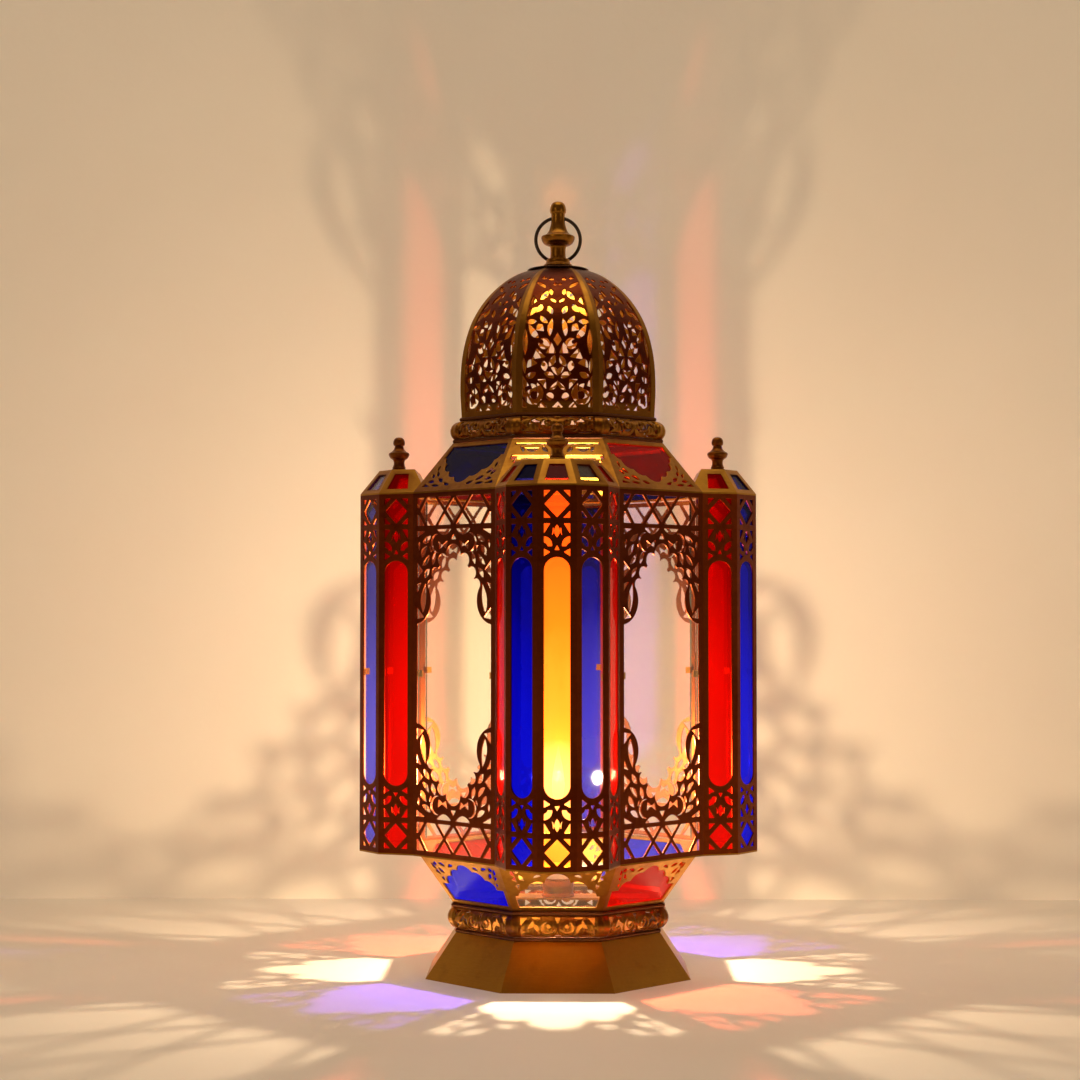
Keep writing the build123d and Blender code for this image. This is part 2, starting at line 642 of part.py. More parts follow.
# Latch: a flat hook riveted to the door swings up under the head of a stud on the tower
RIVET_ALONG = PANEL_W - 3.4
RIVET_R = 1.0
HOOK_OUT = 3.6
HOOK_T = 0.8
HOOK_REACH = 7.6
STUD_NECK_R = 0.8
HOOK_Z = MID_Z + 2


def out_rod(along, level, near, far, radius):
    """A round bar that stands out from the door's face."""
    spot = door_spot(along, near, level)
    return extrude(Plane(origin=spot, z_dir=outwards) * Circle(radius), amount=far - near)


rivet = out_rod(RIVET_ALONG, HOOK_Z, 0, HOOK_OUT - 0.1, 1.9)
rivet += out_rod(RIVET_ALONG, HOOK_Z, 0, HOOK_OUT + HOOK_T + 0.1, RIVET_R)
rivet += out_rod(RIVET_ALONG, HOOK_Z, HOOK_OUT + HOOK_T + 0.1, HOOK_OUT + HOOK_T + 1.1, 2.0)
save("latch_rivet", rivet)
hook_plane = Plane(origin=door_spot(RIVET_ALONG, HOOK_OUT, HOOK_Z), x_dir=across, z_dir=outwards)
hook = Circle(2.4) + Pos(0, -HOOK_REACH / 2) * Rectangle(2.6, HOOK_REACH)
hook += Pos(0, -HOOK_REACH) * Circle(2.2) + Pos(-2.0, -HOOK_REACH - 3.4) * Circle(1.3)
hook += Pos(-1.0, -HOOK_REACH - 1.6) * Rectangle(2.4, 3.6)
notch = Pos(0, -HOOK_REACH) * Circle(STUD_NECK_R + 0.2)
notch += Pos(2.0, -HOOK_REACH) * Rectangle(4.0, 2 * STUD_NECK_R + 0.4)
save("latch_hook", extrude(hook_plane * (hook - notch - Circle(RIVET_R + PIN_FIT)), amount=HOOK_T))

stud_along = RIVET_ALONG + HOOK_REACH
slope_out = (stud_along - PANEL_W) * tan(radians(TOWER_TURN * 0.75))
stud = out_rod(stud_along, HOOK_Z, slope_out - 2, HOOK_OUT + HOOK_T + 0.2, STUD_NECK_R)
stud += out_rod(stud_along, HOOK_Z, HOOK_OUT + HOOK_T + 0.2, HOOK_OUT + HOOK_T + 1.0, 1.8)
latch_corner = outwards * BODY_A + across * (PANEL_W / 2)
side_bearing = radians(TOWER_TURN * 2)
side_normal = Vector(cos(side_bearing), sin(side_bearing), 0)
stud = keep_inside(stud, latch_corner, -side_normal)
save("latch_stud", stud)

# Glass clips: a tab on a short stem in the gap between two panes, at every fold of a tower
CLIP_H = 5.0
CLIP_W = 5.4
CLIP_T = 0.8
CLIP_DEPTH = SHEET + SEAT + GLASS + SEAT
CLIP_STEM = 3.1  # clears both panes, whose backs come nearer to the fold than its own depth
clips = []
for index, (x, y) in enumerate(PLAN):
    place = index % PER_TOWER
    if place in (0, TOWER_FACES):
        continue
    inner_x, inner_y = PLAN_IN[index]
    inward = Vector(inner_x - x, inner_y - y, 0).normalized()
    seat = Plane(origin=Vector(inner_x, inner_y, MID_Z) + inward * 0.2, x_dir=(0, 0, 1), z_dir=inward)
    stem = extrude(seat * Rectangle(CLIP_H - 1, CLIP_T), amount=CLIP_STEM + CLIP_T / 2)
    tab = extrude(seat.offset(CLIP_STEM) * Rectangle(CLIP_H, CLIP_W), amount=CLIP_T)
    clips.append(stem + tab)
save("glass_clips", *clips)


def panel_clip(plane, side):
    """A bent tab from a panel's sheet round the edge of its pane."""
    edge = side * (PANEL_PANE_W / 2 + 0.2)
    foot = plane.offset(-SHEET)
    web = foot * Pos(edge + side * CLIP_T / 2, 0) * Rectangle(CLIP_T, CLIP_H)
    web = extrude(web, amount=-(CLIP_DEPTH - SHEET + CLIP_T))
    tab = foot.offset(-(CLIP_DEPTH - SHEET)) * Pos(edge - side * 1.6, 0) * Rectangle(4.8, CLIP_H)
    return web + extrude(tab, amount=-CLIP_T)


save("panel_clips", *[panel_clip(face_plane(BODY_A, b), side) for b in fixed_panels for side in (-1, 1)])
save("door_clips", *[panel_clip(face_plane(BODY_A, DOOR_BEARING), side) for side in (-1, 1)])

# Candle: a strip across the bowl's foot carries the cup, and the candle lifts out of it
BRIDGE_W = 26.0
BRIDGE_HALF = 70.0
BRIDGE_T = 1.5
CUP_FLOOR = BOWL_BOTTOM + BRIDGE_T
CANDLE_R = 10.0
CANDLE_FIT = 0.3
CANDLE_BOTTOM = CUP_FLOOR + 2.0
CANDLE_TOP = 128.0
CUP_TOP = CUP_FLOOR + 14.0
WICK_R = 0.8
WICK_ROOT = 6.0
WICK_TOP = CANDLE_TOP + 7.0
save("candle_bridge", Pos(0, 0, BOWL_BOTTOM + BRIDGE_T / 2) * Box(2 * BRIDGE_HALF, BRIDGE_W, BRIDGE_T))
bore_r = CANDLE_R + CANDLE_FIT
cup = Polyline((0, CUP_FLOOR), (12.8, CUP_FLOOR), (12.8, CUP_FLOOR + 1.2))
cup += ThreePointArc((12.8, CUP_FLOOR + 1.2), (11.5, CUP_FLOOR + 2.6), (11.6, CUP_FLOOR + 4.4))
cup += ThreePointArc((11.6, CUP_FLOOR + 4.4), (12.4, CUP_FLOOR + 8.2), (11.6, CUP_TOP - 1.6))
cup += Polyline(
    (11.6, CUP_TOP - 1.6), (12.4, CUP_TOP), (bore_r, CUP_TOP),
    (bore_r, CANDLE_BOTTOM), (0, CANDLE_BOTTOM), (0, CUP_FLOOR),
)
save("candle_cup", turned_piece(cup))
wick_hole = Pos(0, 0, CANDLE_TOP) * Cylinder(WICK_R, 2 * WICK_ROOT)
candle = Pos(0, 0, (CANDLE_TOP + CANDLE_BOTTOM) / 2) * Cylinder(CANDLE_R, CANDLE_TOP - CANDLE_BOTTOM)
save("candle", candle - wick_hole)
wick_low = CANDLE_TOP - WICK_ROOT
save("wick", Pos(0, 0, (WICK_TOP + wick_low) / 2) * Cylinder(WICK_R, WICK_TOP - wick_low))
print("hinge axis at", door_spot(HINGE_ALONG, HINGE_OUT, MID_Z))
print("hook pivot at", door_spot(RIVET_ALONG, HOOK_OUT, HOOK_Z))
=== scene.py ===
from math import ceil, cos, hypot, pi, radians, sin, tan

import bpy
import numpy as np
from mathutils.geometry import delaunay_2d_cdt
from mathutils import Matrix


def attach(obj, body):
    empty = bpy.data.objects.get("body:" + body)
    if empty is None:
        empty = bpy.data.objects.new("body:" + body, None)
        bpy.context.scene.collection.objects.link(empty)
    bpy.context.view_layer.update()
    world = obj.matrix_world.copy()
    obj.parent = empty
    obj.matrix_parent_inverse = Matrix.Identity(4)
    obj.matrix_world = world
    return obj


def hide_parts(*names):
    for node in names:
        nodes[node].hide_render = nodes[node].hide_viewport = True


# A candle lantern of pierced and folded brass sheet, glazed with clear, red, blue and amber panes.
# Sizes are in millimetres up to the moment a mesh is made, which is in metres like the frame.
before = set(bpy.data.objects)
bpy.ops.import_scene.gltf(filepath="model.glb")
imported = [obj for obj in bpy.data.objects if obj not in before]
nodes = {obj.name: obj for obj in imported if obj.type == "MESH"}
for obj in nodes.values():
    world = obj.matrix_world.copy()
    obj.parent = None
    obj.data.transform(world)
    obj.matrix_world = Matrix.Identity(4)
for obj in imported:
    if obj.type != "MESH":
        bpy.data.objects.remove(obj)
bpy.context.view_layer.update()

# Camera: a long lens a little above the middle of the lantern, looking at its front tower.
camera_data = bpy.data.cameras.new("camera")
camera_data.lens = 69.8
camera_data.sensor_width = 36.0
camera = bpy.data.objects.new("camera", camera_data)
camera.location = (0.00825, -1.636, 0.2786)
camera.rotation_euler = (radians(91.94), 0.0, radians(0.785))
bpy.context.scene.collection.objects.link(camera)
bpy.context.scene.camera = camera


# Base skirt: eight slanted sides of plain brass sheet, folded at the corners and soldered.
# Like every brass part it is brushed, browned with a dark patina and rubbed bright again.
class Value:
    """One output of a finish's node tree, with the arithmetic that the finishes use."""

    def __init__(self, finish, socket):
        self.finish = finish
        self.socket = socket

    def maths(self, operation, other=0.0):
        return self.finish.node("ShaderNodeMath", {0: self, 1: other}, operation=operation)

    def __add__(self, other):
        return self.maths("ADD", other)

    def __sub__(self, other):
        return self.maths("SUBTRACT", other)

    def __rsub__(self, other):
        return self.finish.node("ShaderNodeMath", {0: other, 1: self}, operation="SUBTRACT")

    def __mul__(self, other):
        return self.maths("MULTIPLY", other)

    __radd__ = __add__
    __rmul__ = __mul__


class Finish:
    """A material and the one method that adds a node to it."""

    def __init__(self, name):
        self.material = bpy.data.materials.new(name)
        self.material.use_nodes = True
        self.tree = self.material.node_tree
        self.tree.nodes.clear()

    def node(self, kind, values=None, output=0, stops=None, **settings):
        made = self.tree.nodes.new(kind)
        for setting, choice in settings.items():
            setattr(made, setting, choice)
        if stops:
            ramp = made.color_ramp.elements
            while len(ramp) < len(stops):
                ramp.new(0.5)
            for stop, (position, shade) in zip(ramp, stops):
                stop.position = position
                stop.color = (*shade, 1.0)
        for key, value in (values or {}).items():
            socket = made.inputs[key]
            if isinstance(value, Value):
                self.tree.links.new(value.socket, socket)
            else:
                socket.default_value = (*value, 1.0) if socket.type == "RGBA" else value
        return Value(self, made.outputs[output]) if len(made.outputs) else None

    def place(self):
        return self.node("ShaderNodeTexCoord", output="Object")

    def noise(self, place, scale, detail=3.0, distortion=0.0):
        values = {"Vector": place, "Scale": scale, "Detail": detail, "Roughness": 0.55}
        return self.node("ShaderNodeTexNoise", {**values, "Distortion": distortion})

    def ramp(self, value, *stops):
        return self.node("ShaderNodeValToRGB", {0: value}, stops=stops)

    def mix(self, mask, first, second):
        values = {0: mask, 6: first, 7: second}
        return self.node("ShaderNodeMix", values, output=2, data_type="RGBA")

    def spread(self, value, low, high, to_low=0.0, to_high=1.0):
        return self.node("ShaderNodeMapRange", {0: value, 1: low, 2: high, 3: to_low, 4: to_high})

    def up(self, place):
        return self.node("ShaderNodeSeparateXYZ", {"Vector": place}, output="Z")

    def stretched(self, place, scale):
        return self.node("ShaderNodeMapping", {"Vector": place, "Scale": scale})

    def bump(self, height, strength, distance):
        return self.node("ShaderNodeBump", {"Height": height, "Strength": strength, "Distance": distance})

    def principled(self, inputs):
        return self.node("ShaderNodeBsdfPrincipled", inputs)

    def end(self, shader):
        self.node("ShaderNodeOutputMaterial", {"Surface": shader})
        return self.material


def rubbed_brass(name, bright, deep, polish, bright_mask=None):
    """Metal whose colour runs from bright to a deep brown patina by large clouds and fine grain,
    with long brushing scratches in the bump and edges rubbed back to bright. Where bright_mask is 1
    it turns to bright brass: on the dome, bare metal along the folds and foot and painted candle
    light inside."""
    finish = Finish(name)
    place = finish.place()
    clouds = finish.noise(place, 11.0, detail=4.0, distortion=0.6)
    grain = finish.noise(place, 260.0, detail=3.0)
    brushing = finish.noise(finish.stretched(place, (70.0, 70.0, 900.0)), 1.0, detail=2.0)
    spots = finish.spread(finish.noise(place, 48.0, detail=6.0), 0.56, 0.80)
    edge = finish.node("ShaderNodeNewGeometry", output="Pointiness")
    worn = finish.spread(edge, 0.52, 0.60)
    browned = finish.spread(clouds + 0.25 * grain, 0.36, 0.76, 0.0, 0.95)
    browned = browned * (1.0 - 0.7 * worn)
    tone = finish.mix(browned, bright, deep)
    tone = finish.mix(spots * 0.40, tone, (deep[0] * 0.5, deep[1] * 0.45, deep[2] * 0.4))
    if bright_mask:
        # Bright brass where bright_mask is 1, which on the dome is bare metal along the folds and foot and
        # painted candle light inside.
        tone = finish.mix(bright_mask(finish, place) * (1.0 - 0.5 * browned), tone, BRIGHT_BRASS)
    rough = polish + 0.16 * clouds + 0.10 * grain + 0.10 * spots
    scratches = finish.bump(brushing + 0.5 * grain, 0.18, 0.0006)
    shader = finish.principled({
        "Base Color": tone, "Roughness": rough, "Metallic": 1.0, "Normal": scratches,
    })
    return finish.end(shader)


BRIGHT_BRASS = (0.56, 0.27, 0.032)
DEEP_BRASS = (0.19, 0.045, 0.006)
brass = rubbed_brass("antique_brass", BRIGHT_BRASS, DEEP_BRASS, 0.20)


def refinish(material, *names):
    """Gives carried-over CAD nodes their finish in every slot."""
    for name in names:
        for slot in nodes[name].material_slots:
            slot.material = material


refinish(brass, "base_skirt")

# Beads: thin half-round wires of darker metal that close the joint above and below each moulding.
dark_brass = rubbed_brass("bead_brass", (0.20, 0.07, 0.022), (0.075, 0.02, 0.008), 0.26)
refinish(dark_brass, "base_bead_lower", "base_bead_upper", "dome_bead_lower", "dome_bead_upper")

# Base moulding: a strip stamped with a mirrored scroll on each of its eight sides, bulged
# outwards and mitred at the corners, where a plain half-round cap covers the joint.
SIDES = 8
SIDE_RATIO = tan(pi / SIDES)  # half a side over the distance from the axis to its middle
SHEET = 1.0
CUT_STEP = 0.45  # the grid that the large patterns are traced on


def leaf(x, y, start, end, width, bow=0.0, skew=0.0):
    """Positive inside a leaf: two parabolas over the line from start to end, width apart at the
    middle, both bowed aside by bow; skew above 0 moves the fat part towards the end."""
    (ax, ay), (bx, by) = start, end
    half = hypot(bx - ax, by - ay) / 2
    ux, uy = (bx - ax) / (2 * half), (by - ay) / (2 * half)
    px, py = x - (ax + bx) / 2, y - (ay + by) / 2
    along = (px * ux + py * uy) / half
    off = py * ux - px * uy
    arch = (1 - along**2) * (1 + skew * np.clip(along, -1, 1))
    return np.minimum((width / 2 + bow) * arch - off, (width / 2 - bow) * arch + off)


def facet(x, y, *corners):
    """Positive inside a convex shape with straight edges: the least distance to any edge."""
    ring = list(zip(corners, corners[1:] + corners[:1]))
    area = sum(ax * by - bx * ay for (ax, ay), (bx, by) in ring)
    turn = 1.0 if area > 0 else -1.0
    inside = np.full_like(x, np.inf)
    for (ax, ay), (bx, by) in ring:
        length = hypot(bx - ax, by - ay)
        inside = np.minimum(inside, turn * ((bx - ax) * (y - ay) - (by - ay) * (x - ax)) / length)
    return inside


def disc(x, y, cx, cy, radius):
    """Positive inside a round hole: its radius less the distance from its centre."""
    return radius - np.hypot(x - cx, y - cy)


def crescent(x, y, outer, inner):
    """Positive inside one disc and outside another, each given as (x, y, radius)."""
    return np.minimum(disc(x, y, *outer), -disc(x, y, *inner))


def punched(x, y, leaves=(), facets=(), discs=(), crescents=()):
    """Positive inside any of a pattern's holes. A leaf is (start, end, width, bow, skew), a facet is
    its corners, a disc is (x, y, radius), and a crescent is its outer and its inner disc."""
    holes = [leaf(x, y, *hole) for hole in leaves]
    holes += [facet(x, y, *hole) for hole in facets]
    holes += [disc(x, y, *hole) for hole in discs]
    holes += [crescent(x, y, *hole) for hole in crescents]
    return np.maximum.reduce(holes)


LEAST = 0.02  # no grid value is nearer to nothing than this, so that no cut edge is too short
FILL_MARGIN = 0.7  # how far the points inside the metal stay from its edges
WELD = 0.004  # points nearer than this become one
FOLD_REACH = 0.01  # how near to a fold a corner counts as on it


def cut_lines(values, xs, ys):
    """Finds where a grid of values crosses nothing: one point on each grid edge whose ends differ
    in sign, by straight proportion, and one segment for each cell that the line passes through."""
    values = np.where(np.abs(values) < LEAST, np.where(values < 0, -LEAST, LEAST), values)
    step = xs[1] - xs[0]
    metal = values > 0
    across = metal[:, 1:] != metal[:, :-1]
    upright = metal[1:] != metal[:-1]
    across_id = np.full(across.shape, -1)
    across_id[across] = np.arange(across.sum())
    upright_id = np.full(upright.shape, -1)
    upright_id[upright] = across.sum() + np.arange(upright.sum())
    rows, cols = np.nonzero(across)
    share = values[rows, cols] / (values[rows, cols] - values[rows, cols + 1])
    flat = np.stack([xs[cols] + step * share, ys[rows]], axis=1)
    rows, cols = np.nonzero(upright)
    share = values[rows, cols] / (values[rows, cols] - values[rows + 1, cols])
    tall = np.stack([xs[cols], ys[rows] + step * share], axis=1)
    around = np.stack([across_id[:-1], upright_id[:, 1:], across_id[1:], upright_id[:, :-1]], axis=-1)
    count = (around >= 0).sum(axis=-1)
    simple = np.sort(around[count == 2], axis=1)[:, 2:]
    crossed = around[count == 4]
    middle = (values[:-1, :-1] + values[:-1, 1:] + values[1:, :-1] + values[1:, 1:])[count == 4] > 0
    same = middle == metal[:-1, :-1][count == 4]
    first = np.where(same[:, None], crossed[:, [0, 1]], crossed[:, [0, 3]])
    second = np.where(same[:, None], crossed[:, [2, 3]], crossed[:, [1, 2]])
    return np.concatenate([flat, tall]), np.concatenate([simple, first, second])


def joined_regions(triangles, fixed):
    """Numbers the regions of a triangulation that the fixed edges part from each other."""
    count = len(triangles)
    sides = np.concatenate([triangles[:, [0, 1]], triangles[:, [1, 2]], triangles[:, [2, 0]]])
    owner = np.tile(np.arange(count), 3)
    size = triangles.max() + 1
    keys = np.sort(sides, axis=1) @ np.array([size, 1])
    order = np.argsort(keys, kind="stable")
    keys, owner = keys[order], owner[order]
    twin = np.nonzero(keys[1:] == keys[:-1])[0]
    twin = twin[~np.isin(keys[twin], np.sort(fixed, axis=1) @ np.array([size, 1]))]
    left, right = owner[twin], owner[twin + 1]
    label = np.arange(count)
    while True:
        least = np.minimum(label[left], label[right])
        fresh = label.copy()
        np.minimum.at(fresh, left, least)
        np.minimum.at(fresh, right, least)
        fresh = fresh[fresh]
        if np.array_equal(fresh, label):
            return label
        label = fresh


def pierce(blank, pattern, step, fill=0.0):
    """Cuts a pattern out of a flat blank. The blank's corners run anticlockwise; pattern(x, y) is
    positive in metal and about the distance to the nearest cut. Gives the points, the triangles,
    the edges of the metal with the metal on their left, and each point's way into the metal."""
    blank = np.asarray(blank, float)
    low, high = blank.min(axis=0), blank.max(axis=0)
    half = step * ceil(max(high[0], -low[0]) / step + 1)
    xs = np.arange(-half, half + step / 2, step)
    ys = low[1] - step + step * np.arange(ceil((high[1] - low[1]) / step) + 3)
    cuts, segments = cut_lines(pattern(*np.meshgrid(xs, ys)), xs, ys)
    corners = len(blank)
    ring = np.stack([np.arange(corners), (np.arange(corners) + 1) % corners], axis=1)
    points = [blank, cuts]
    if fill:
        gx, gy = np.meshgrid(np.arange(-half, half, fill) + fill / 2, np.arange(low[1], high[1], fill))
        gx = gx + np.where(np.arange(len(gy)) % 2, fill / 2, 0.0)[:, None]
        inside = (pattern(gx, gy) > FILL_MARGIN) & (facet(gx, gy, *blank.tolist()) > FILL_MARGIN)
        points.append(np.stack([gx[inside], gy[inside]], axis=1))
    points = np.concatenate(points)
    fixed = np.concatenate([ring, segments + corners])
    flat, _, triangles, _, _, _ = delaunay_2d_cdt(points.tolist(), fixed.tolist(), [], 0, 1e-7, False)
    points = np.array([tuple(spot) for spot in flat])
    triangles = np.array(triangles)
    a, b, c = (points[triangles[:, i]] for i in range(3))
    area = ((b[:, 0] - a[:, 0]) * (c[:, 1] - a[:, 1]) - (b[:, 1] - a[:, 1]) * (c[:, 0] - a[:, 0])) / 2
    triangles[area < 0] = triangles[area < 0][:, ::-1]
    centre = (a + b + c) / 3
    worth = pattern(centre[:, 0], centre[:, 1])
    worth = np.where(facet(centre[:, 0], centre[:, 1], *blank.tolist()) > 0, np.sign(worth), -1.0)
    region = joined_regions(triangles, fixed)
    vote = np.bincount(region, weights=worth * np.abs(area), minlength=len(triangles))
    triangles = triangles[(vote[region] > 0) & (np.abs(area) > 1e-9)]
    sides = np.concatenate([triangles[:, [0, 1]], triangles[:, [1, 2]], triangles[:, [2, 0]]])
    size = len(points)
    twins = np.isin(sides @ np.array([size, 1]), sides @ np.array([1, size]))
    edges = sides[~twins]
    small = step / 2
    x, y = points[:, 0], points[:, 1]
    inward = np.stack([pattern(x + small, y) - pattern(x - small, y),
                       pattern(x, y + small) - pattern(x, y - small)], axis=1)
    inward /= np.maximum(np.linalg.norm(inward, axis=1), 1e-6)[:, None]
    inward[:corners] = 0.0
    return points, triangles, edges, inward, corners


CHAMFER = (0.32, 0.25)  # how far the punched edge is rubbed down, across the face and in depth


def raised(sheet, place, folds, thickness=SHEET):
    """Gives a pierced blank its thickness and shape: a face drawn in by the chamfer, the chamfer,
    the cut wall and the back. place(x, y, depth) bends it. Edges between two corners of the
    blank for which folds(x, y) holds are left open, because the next side joins there."""
    points, triangles, edges, inward, corners = sheet
    drawn = points + inward * CHAMFER[0] * np.isin(np.arange(len(points)), edges)[:, None]
    on_fold = np.zeros(len(points), bool)
    on_fold[:corners] = folds(points[:corners, 0], points[:corners, 1])
    walls = edges[~(on_fold[edges[:, 0]] & on_fold[edges[:, 1]])]
    count = len(points)
    shape = np.concatenate([
        place(drawn[:, 0], drawn[:, 1], np.zeros(count)),
        place(points[:, 0], points[:, 1], np.full(count, CHAMFER[1])),
        place(points[:, 0], points[:, 1], np.full(count, thickness)),
    ])
    a, b = walls[:, 0], walls[:, 1]
    quads = np.stack([b, a, a + count, b + count], axis=1)
    return shape, [triangles, triangles[:, ::-1] + 2 * count, quads, quads + count]


def joined(*parts):
    """Puts several shapes into one and welds the points that meet."""
    shapes, faces, start = [], [], 0
    for shape, groups in parts:
        shapes.append(shape)
        faces += [group + start for group in groups]
        start += len(shape)
    shape = np.concatenate(shapes)
    keys = np.round(shape / WELD).astype(np.int64)
    keys -= keys.min(axis=0)
    span = keys.max(axis=0) + 1
    code = (keys[:, 0] * span[1] + keys[:, 1]) * span[2] + keys[:, 2]
    _, first, place = np.unique(code, return_index=True, return_inverse=True)
    return shape[first], [place.reshape(-1)[group] for group in faces]


def turned(shape, bearing):
    """Turns points about the lantern's axis by a bearing in degrees."""
    c, s = cos(radians(bearing)), sin(radians(bearing))
    x, y, z = shape.T
    return np.stack([x * c - y * s, x * s + y * c, z], axis=1)


def whole(faces):
    """Which faces have no corner twice."""
    ordered = np.sort(faces, axis=1)
    return (ordered[:, 1:] != ordered[:, :-1]).all(axis=1)


def make_piece(name, shape, groups, material, body="lantern", slot="antique_brass", sharp=28.0):
    """Makes the mesh from points in millimetres and groups of faces, drops faces with repeated
    corners, shades it smooth between sharp edges, and puts it on its body."""
    kept = []
    for group in groups:
        kept.append(group[whole(group)])
        if group.shape[1] == 4:
            folded = group[~whole(group)]
            halves = [folded[:, [0, 1, 2]], folded[:, [0, 2, 3]]]
            kept += [half[whole(half)] for half in halves]
    corners = np.concatenate([group.reshape(-1) for group in kept])
    sizes = np.concatenate([np.full(len(group), group.shape[1]) for group in kept])
    used, corners = np.unique(corners, return_inverse=True)
    corners = corners.reshape(-1)
    mesh = bpy.data.meshes.new(name)
    mesh.vertices.add(len(used))
    mesh.vertices.foreach_set("co", (shape[used] / 1000).astype(np.float32).reshape(-1))
    mesh.loops.add(len(corners))
    mesh.loops.foreach_set("vertex_index", corners.astype(np.int32))
    mesh.polygons.add(len(sizes))
    mesh.polygons.foreach_set("loop_start", np.concatenate([[0], np.cumsum(sizes)[:-1]]).astype(np.int32))
    mesh.polygons.foreach_set("use_smooth", np.ones(len(sizes), bool))
    mesh.materials.append(material)
    mesh.update(calc_edges=True)
    mesh.validate()
    mesh.set_sharp_from_angle(angle=radians(sharp))
    piece = bpy.data.objects.new(name, mesh)
    bpy.context.scene.collection.objects.link(piece)
    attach(piece, body)
    return piece


def smooth_cubic(points, slope, index, t, gap=1.0):
    """The cubic from point index to the next at the share t of the way, with a slope at each."""
    start = (2 * t**3 - 3 * t**2 + 1) * points[index] + (t**3 - 2 * t**2 + t) * gap * slope[index]
    end = (3 * t**2 - 2 * t**3) * points[index + 1] + (t**3 - t**2) * gap * slope[index + 1]
    return start + end


def profile(points, samples=160):
    """A side's section as arrays by length along it: the length, the distance from the axis, the
    level, and the outward normal's two parts. A smooth cubic passes through the points given."""
    points = np.asarray(points, float)
    chord = np.concatenate([[0], np.cumsum(np.hypot(*np.diff(points, axis=0).T))])
    if len(points) == 2:
        fine = points[0] + np.linspace(0, 1, samples)[:, None] * (points[1] - points[0])
    else:
        slope = np.gradient(points, chord, axis=0)
        at = np.linspace(0, chord[-1], samples)
        index = np.clip(np.searchsorted(chord, at) - 1, 0, len(chord) - 2)
        gap = (chord[index + 1] - chord[index])[:, None]
        t = (at[:, None] - chord[index][:, None]) / gap
        fine = smooth_cubic(points, slope, index, t, gap)
    length = np.concatenate([[0], np.cumsum(np.hypot(*np.diff(fine, axis=0).T))])
    way = np.gradient(fine, length, axis=0)
    way /= np.linalg.norm(way, axis=1)[:, None]
    return length, fine[:, 0], fine[:, 1], way[:, 1], -way[:, 0]


def arc_profile(foot, bulge, top, samples=48):
    """The section of a moulding: the circle through its foot, its bulge and its top."""
    (ax, ay), (bx, by), (cx, cy) = foot, bulge, top
    d = 2 * (ax * (by - cy) + bx * (cy - ay) + cx * (ay - by))
    ox = ((ax**2 + ay**2) * (by - cy) + (bx**2 + by**2) * (cy - ay) + (cx**2 + cy**2) * (ay - by)) / d
    oy = ((ax**2 + ay**2) * (cx - bx) + (bx**2 + by**2) * (ax - cx) + (cx**2 + cy**2) * (bx - ax)) / d
    start, end = np.arctan2(ay - oy, ax - ox), np.arctan2(cy - oy, cx - ox)
    angle = np.linspace(start, end, samples)
    radius = hypot(ax - ox, ay - oy)
    across, up = np.cos(angle), np.sin(angle)
    return radius * (angle - start), ox + radius * across, oy + radius * up, across, up


def strip_blank(rows, half):
    """A flat blank that reaches half to each hand at every row."""
    right = np.stack([half, rows], axis=1)
    left = np.stack([-half, rows], axis=1)[::-1]
    return np.concatenate([right, left])


def octagon_blank(section, step=4.0):
    """The flat blank for one side: as wide at each length as the side is at that point."""
    length, away = section[0], section[1]
    rows = np.linspace(0, length[-1], max(2, ceil(length[-1] / step) + 1))
    return strip_blank(rows, np.interp(rows, length, away) * SIDE_RATIO)


def octagon_bend(section, relief=None):
    """Bends a blank to its section: the point moves in by its depth along the normal, and its
    distance from the middle keeps the same share of the side, which mitres the corners."""
    length, away, level, out, up = section

    def place(x, y, depth):
        depth = depth - (relief(x, y) * (depth < SHEET / 2) if relief else 0.0)
        base = np.interp(y, length, away)
        distance = base - depth * np.interp(y, length, out)
        height = np.interp(y, length, level) - depth * np.interp(y, length, up)
        return np.stack([distance, x * distance / base, height], axis=1)

    return place


def octagon_sheets(section, patterns, step, fill=0.0, relief=None):
    """All eight sides of a wall, from the pattern of each kind of side and its bearings."""
    blank = octagon_blank(section)
    length, away = section[0], section[1]
    parts = []
    for pattern, bearings in patterns:
        sheet = pierce(blank, pattern, step, fill)

        def folds(x, y):
            return np.abs(np.abs(x) - np.interp(y, length, away) * SIDE_RATIO) < FOLD_REACH

        shape, groups = raised(sheet, octagon_bend(section, relief), folds)
        parts += [(turned(shape, bearing), groups) for bearing in bearings]
    return joined(*parts)


EVERY_SIDE = tuple(range(0, 360, 360 // SIDES))
FLAT_SIDES = EVERY_SIDE[::2]
DIAGONAL_SIDES = EVERY_SIDE[1::2]
SCROLL_OUT = 7.4  # the big scroll's centre, from the middle of the side
STRIP_H = 20.5  # the strip's height as it is drawn, which is stretched to the real one


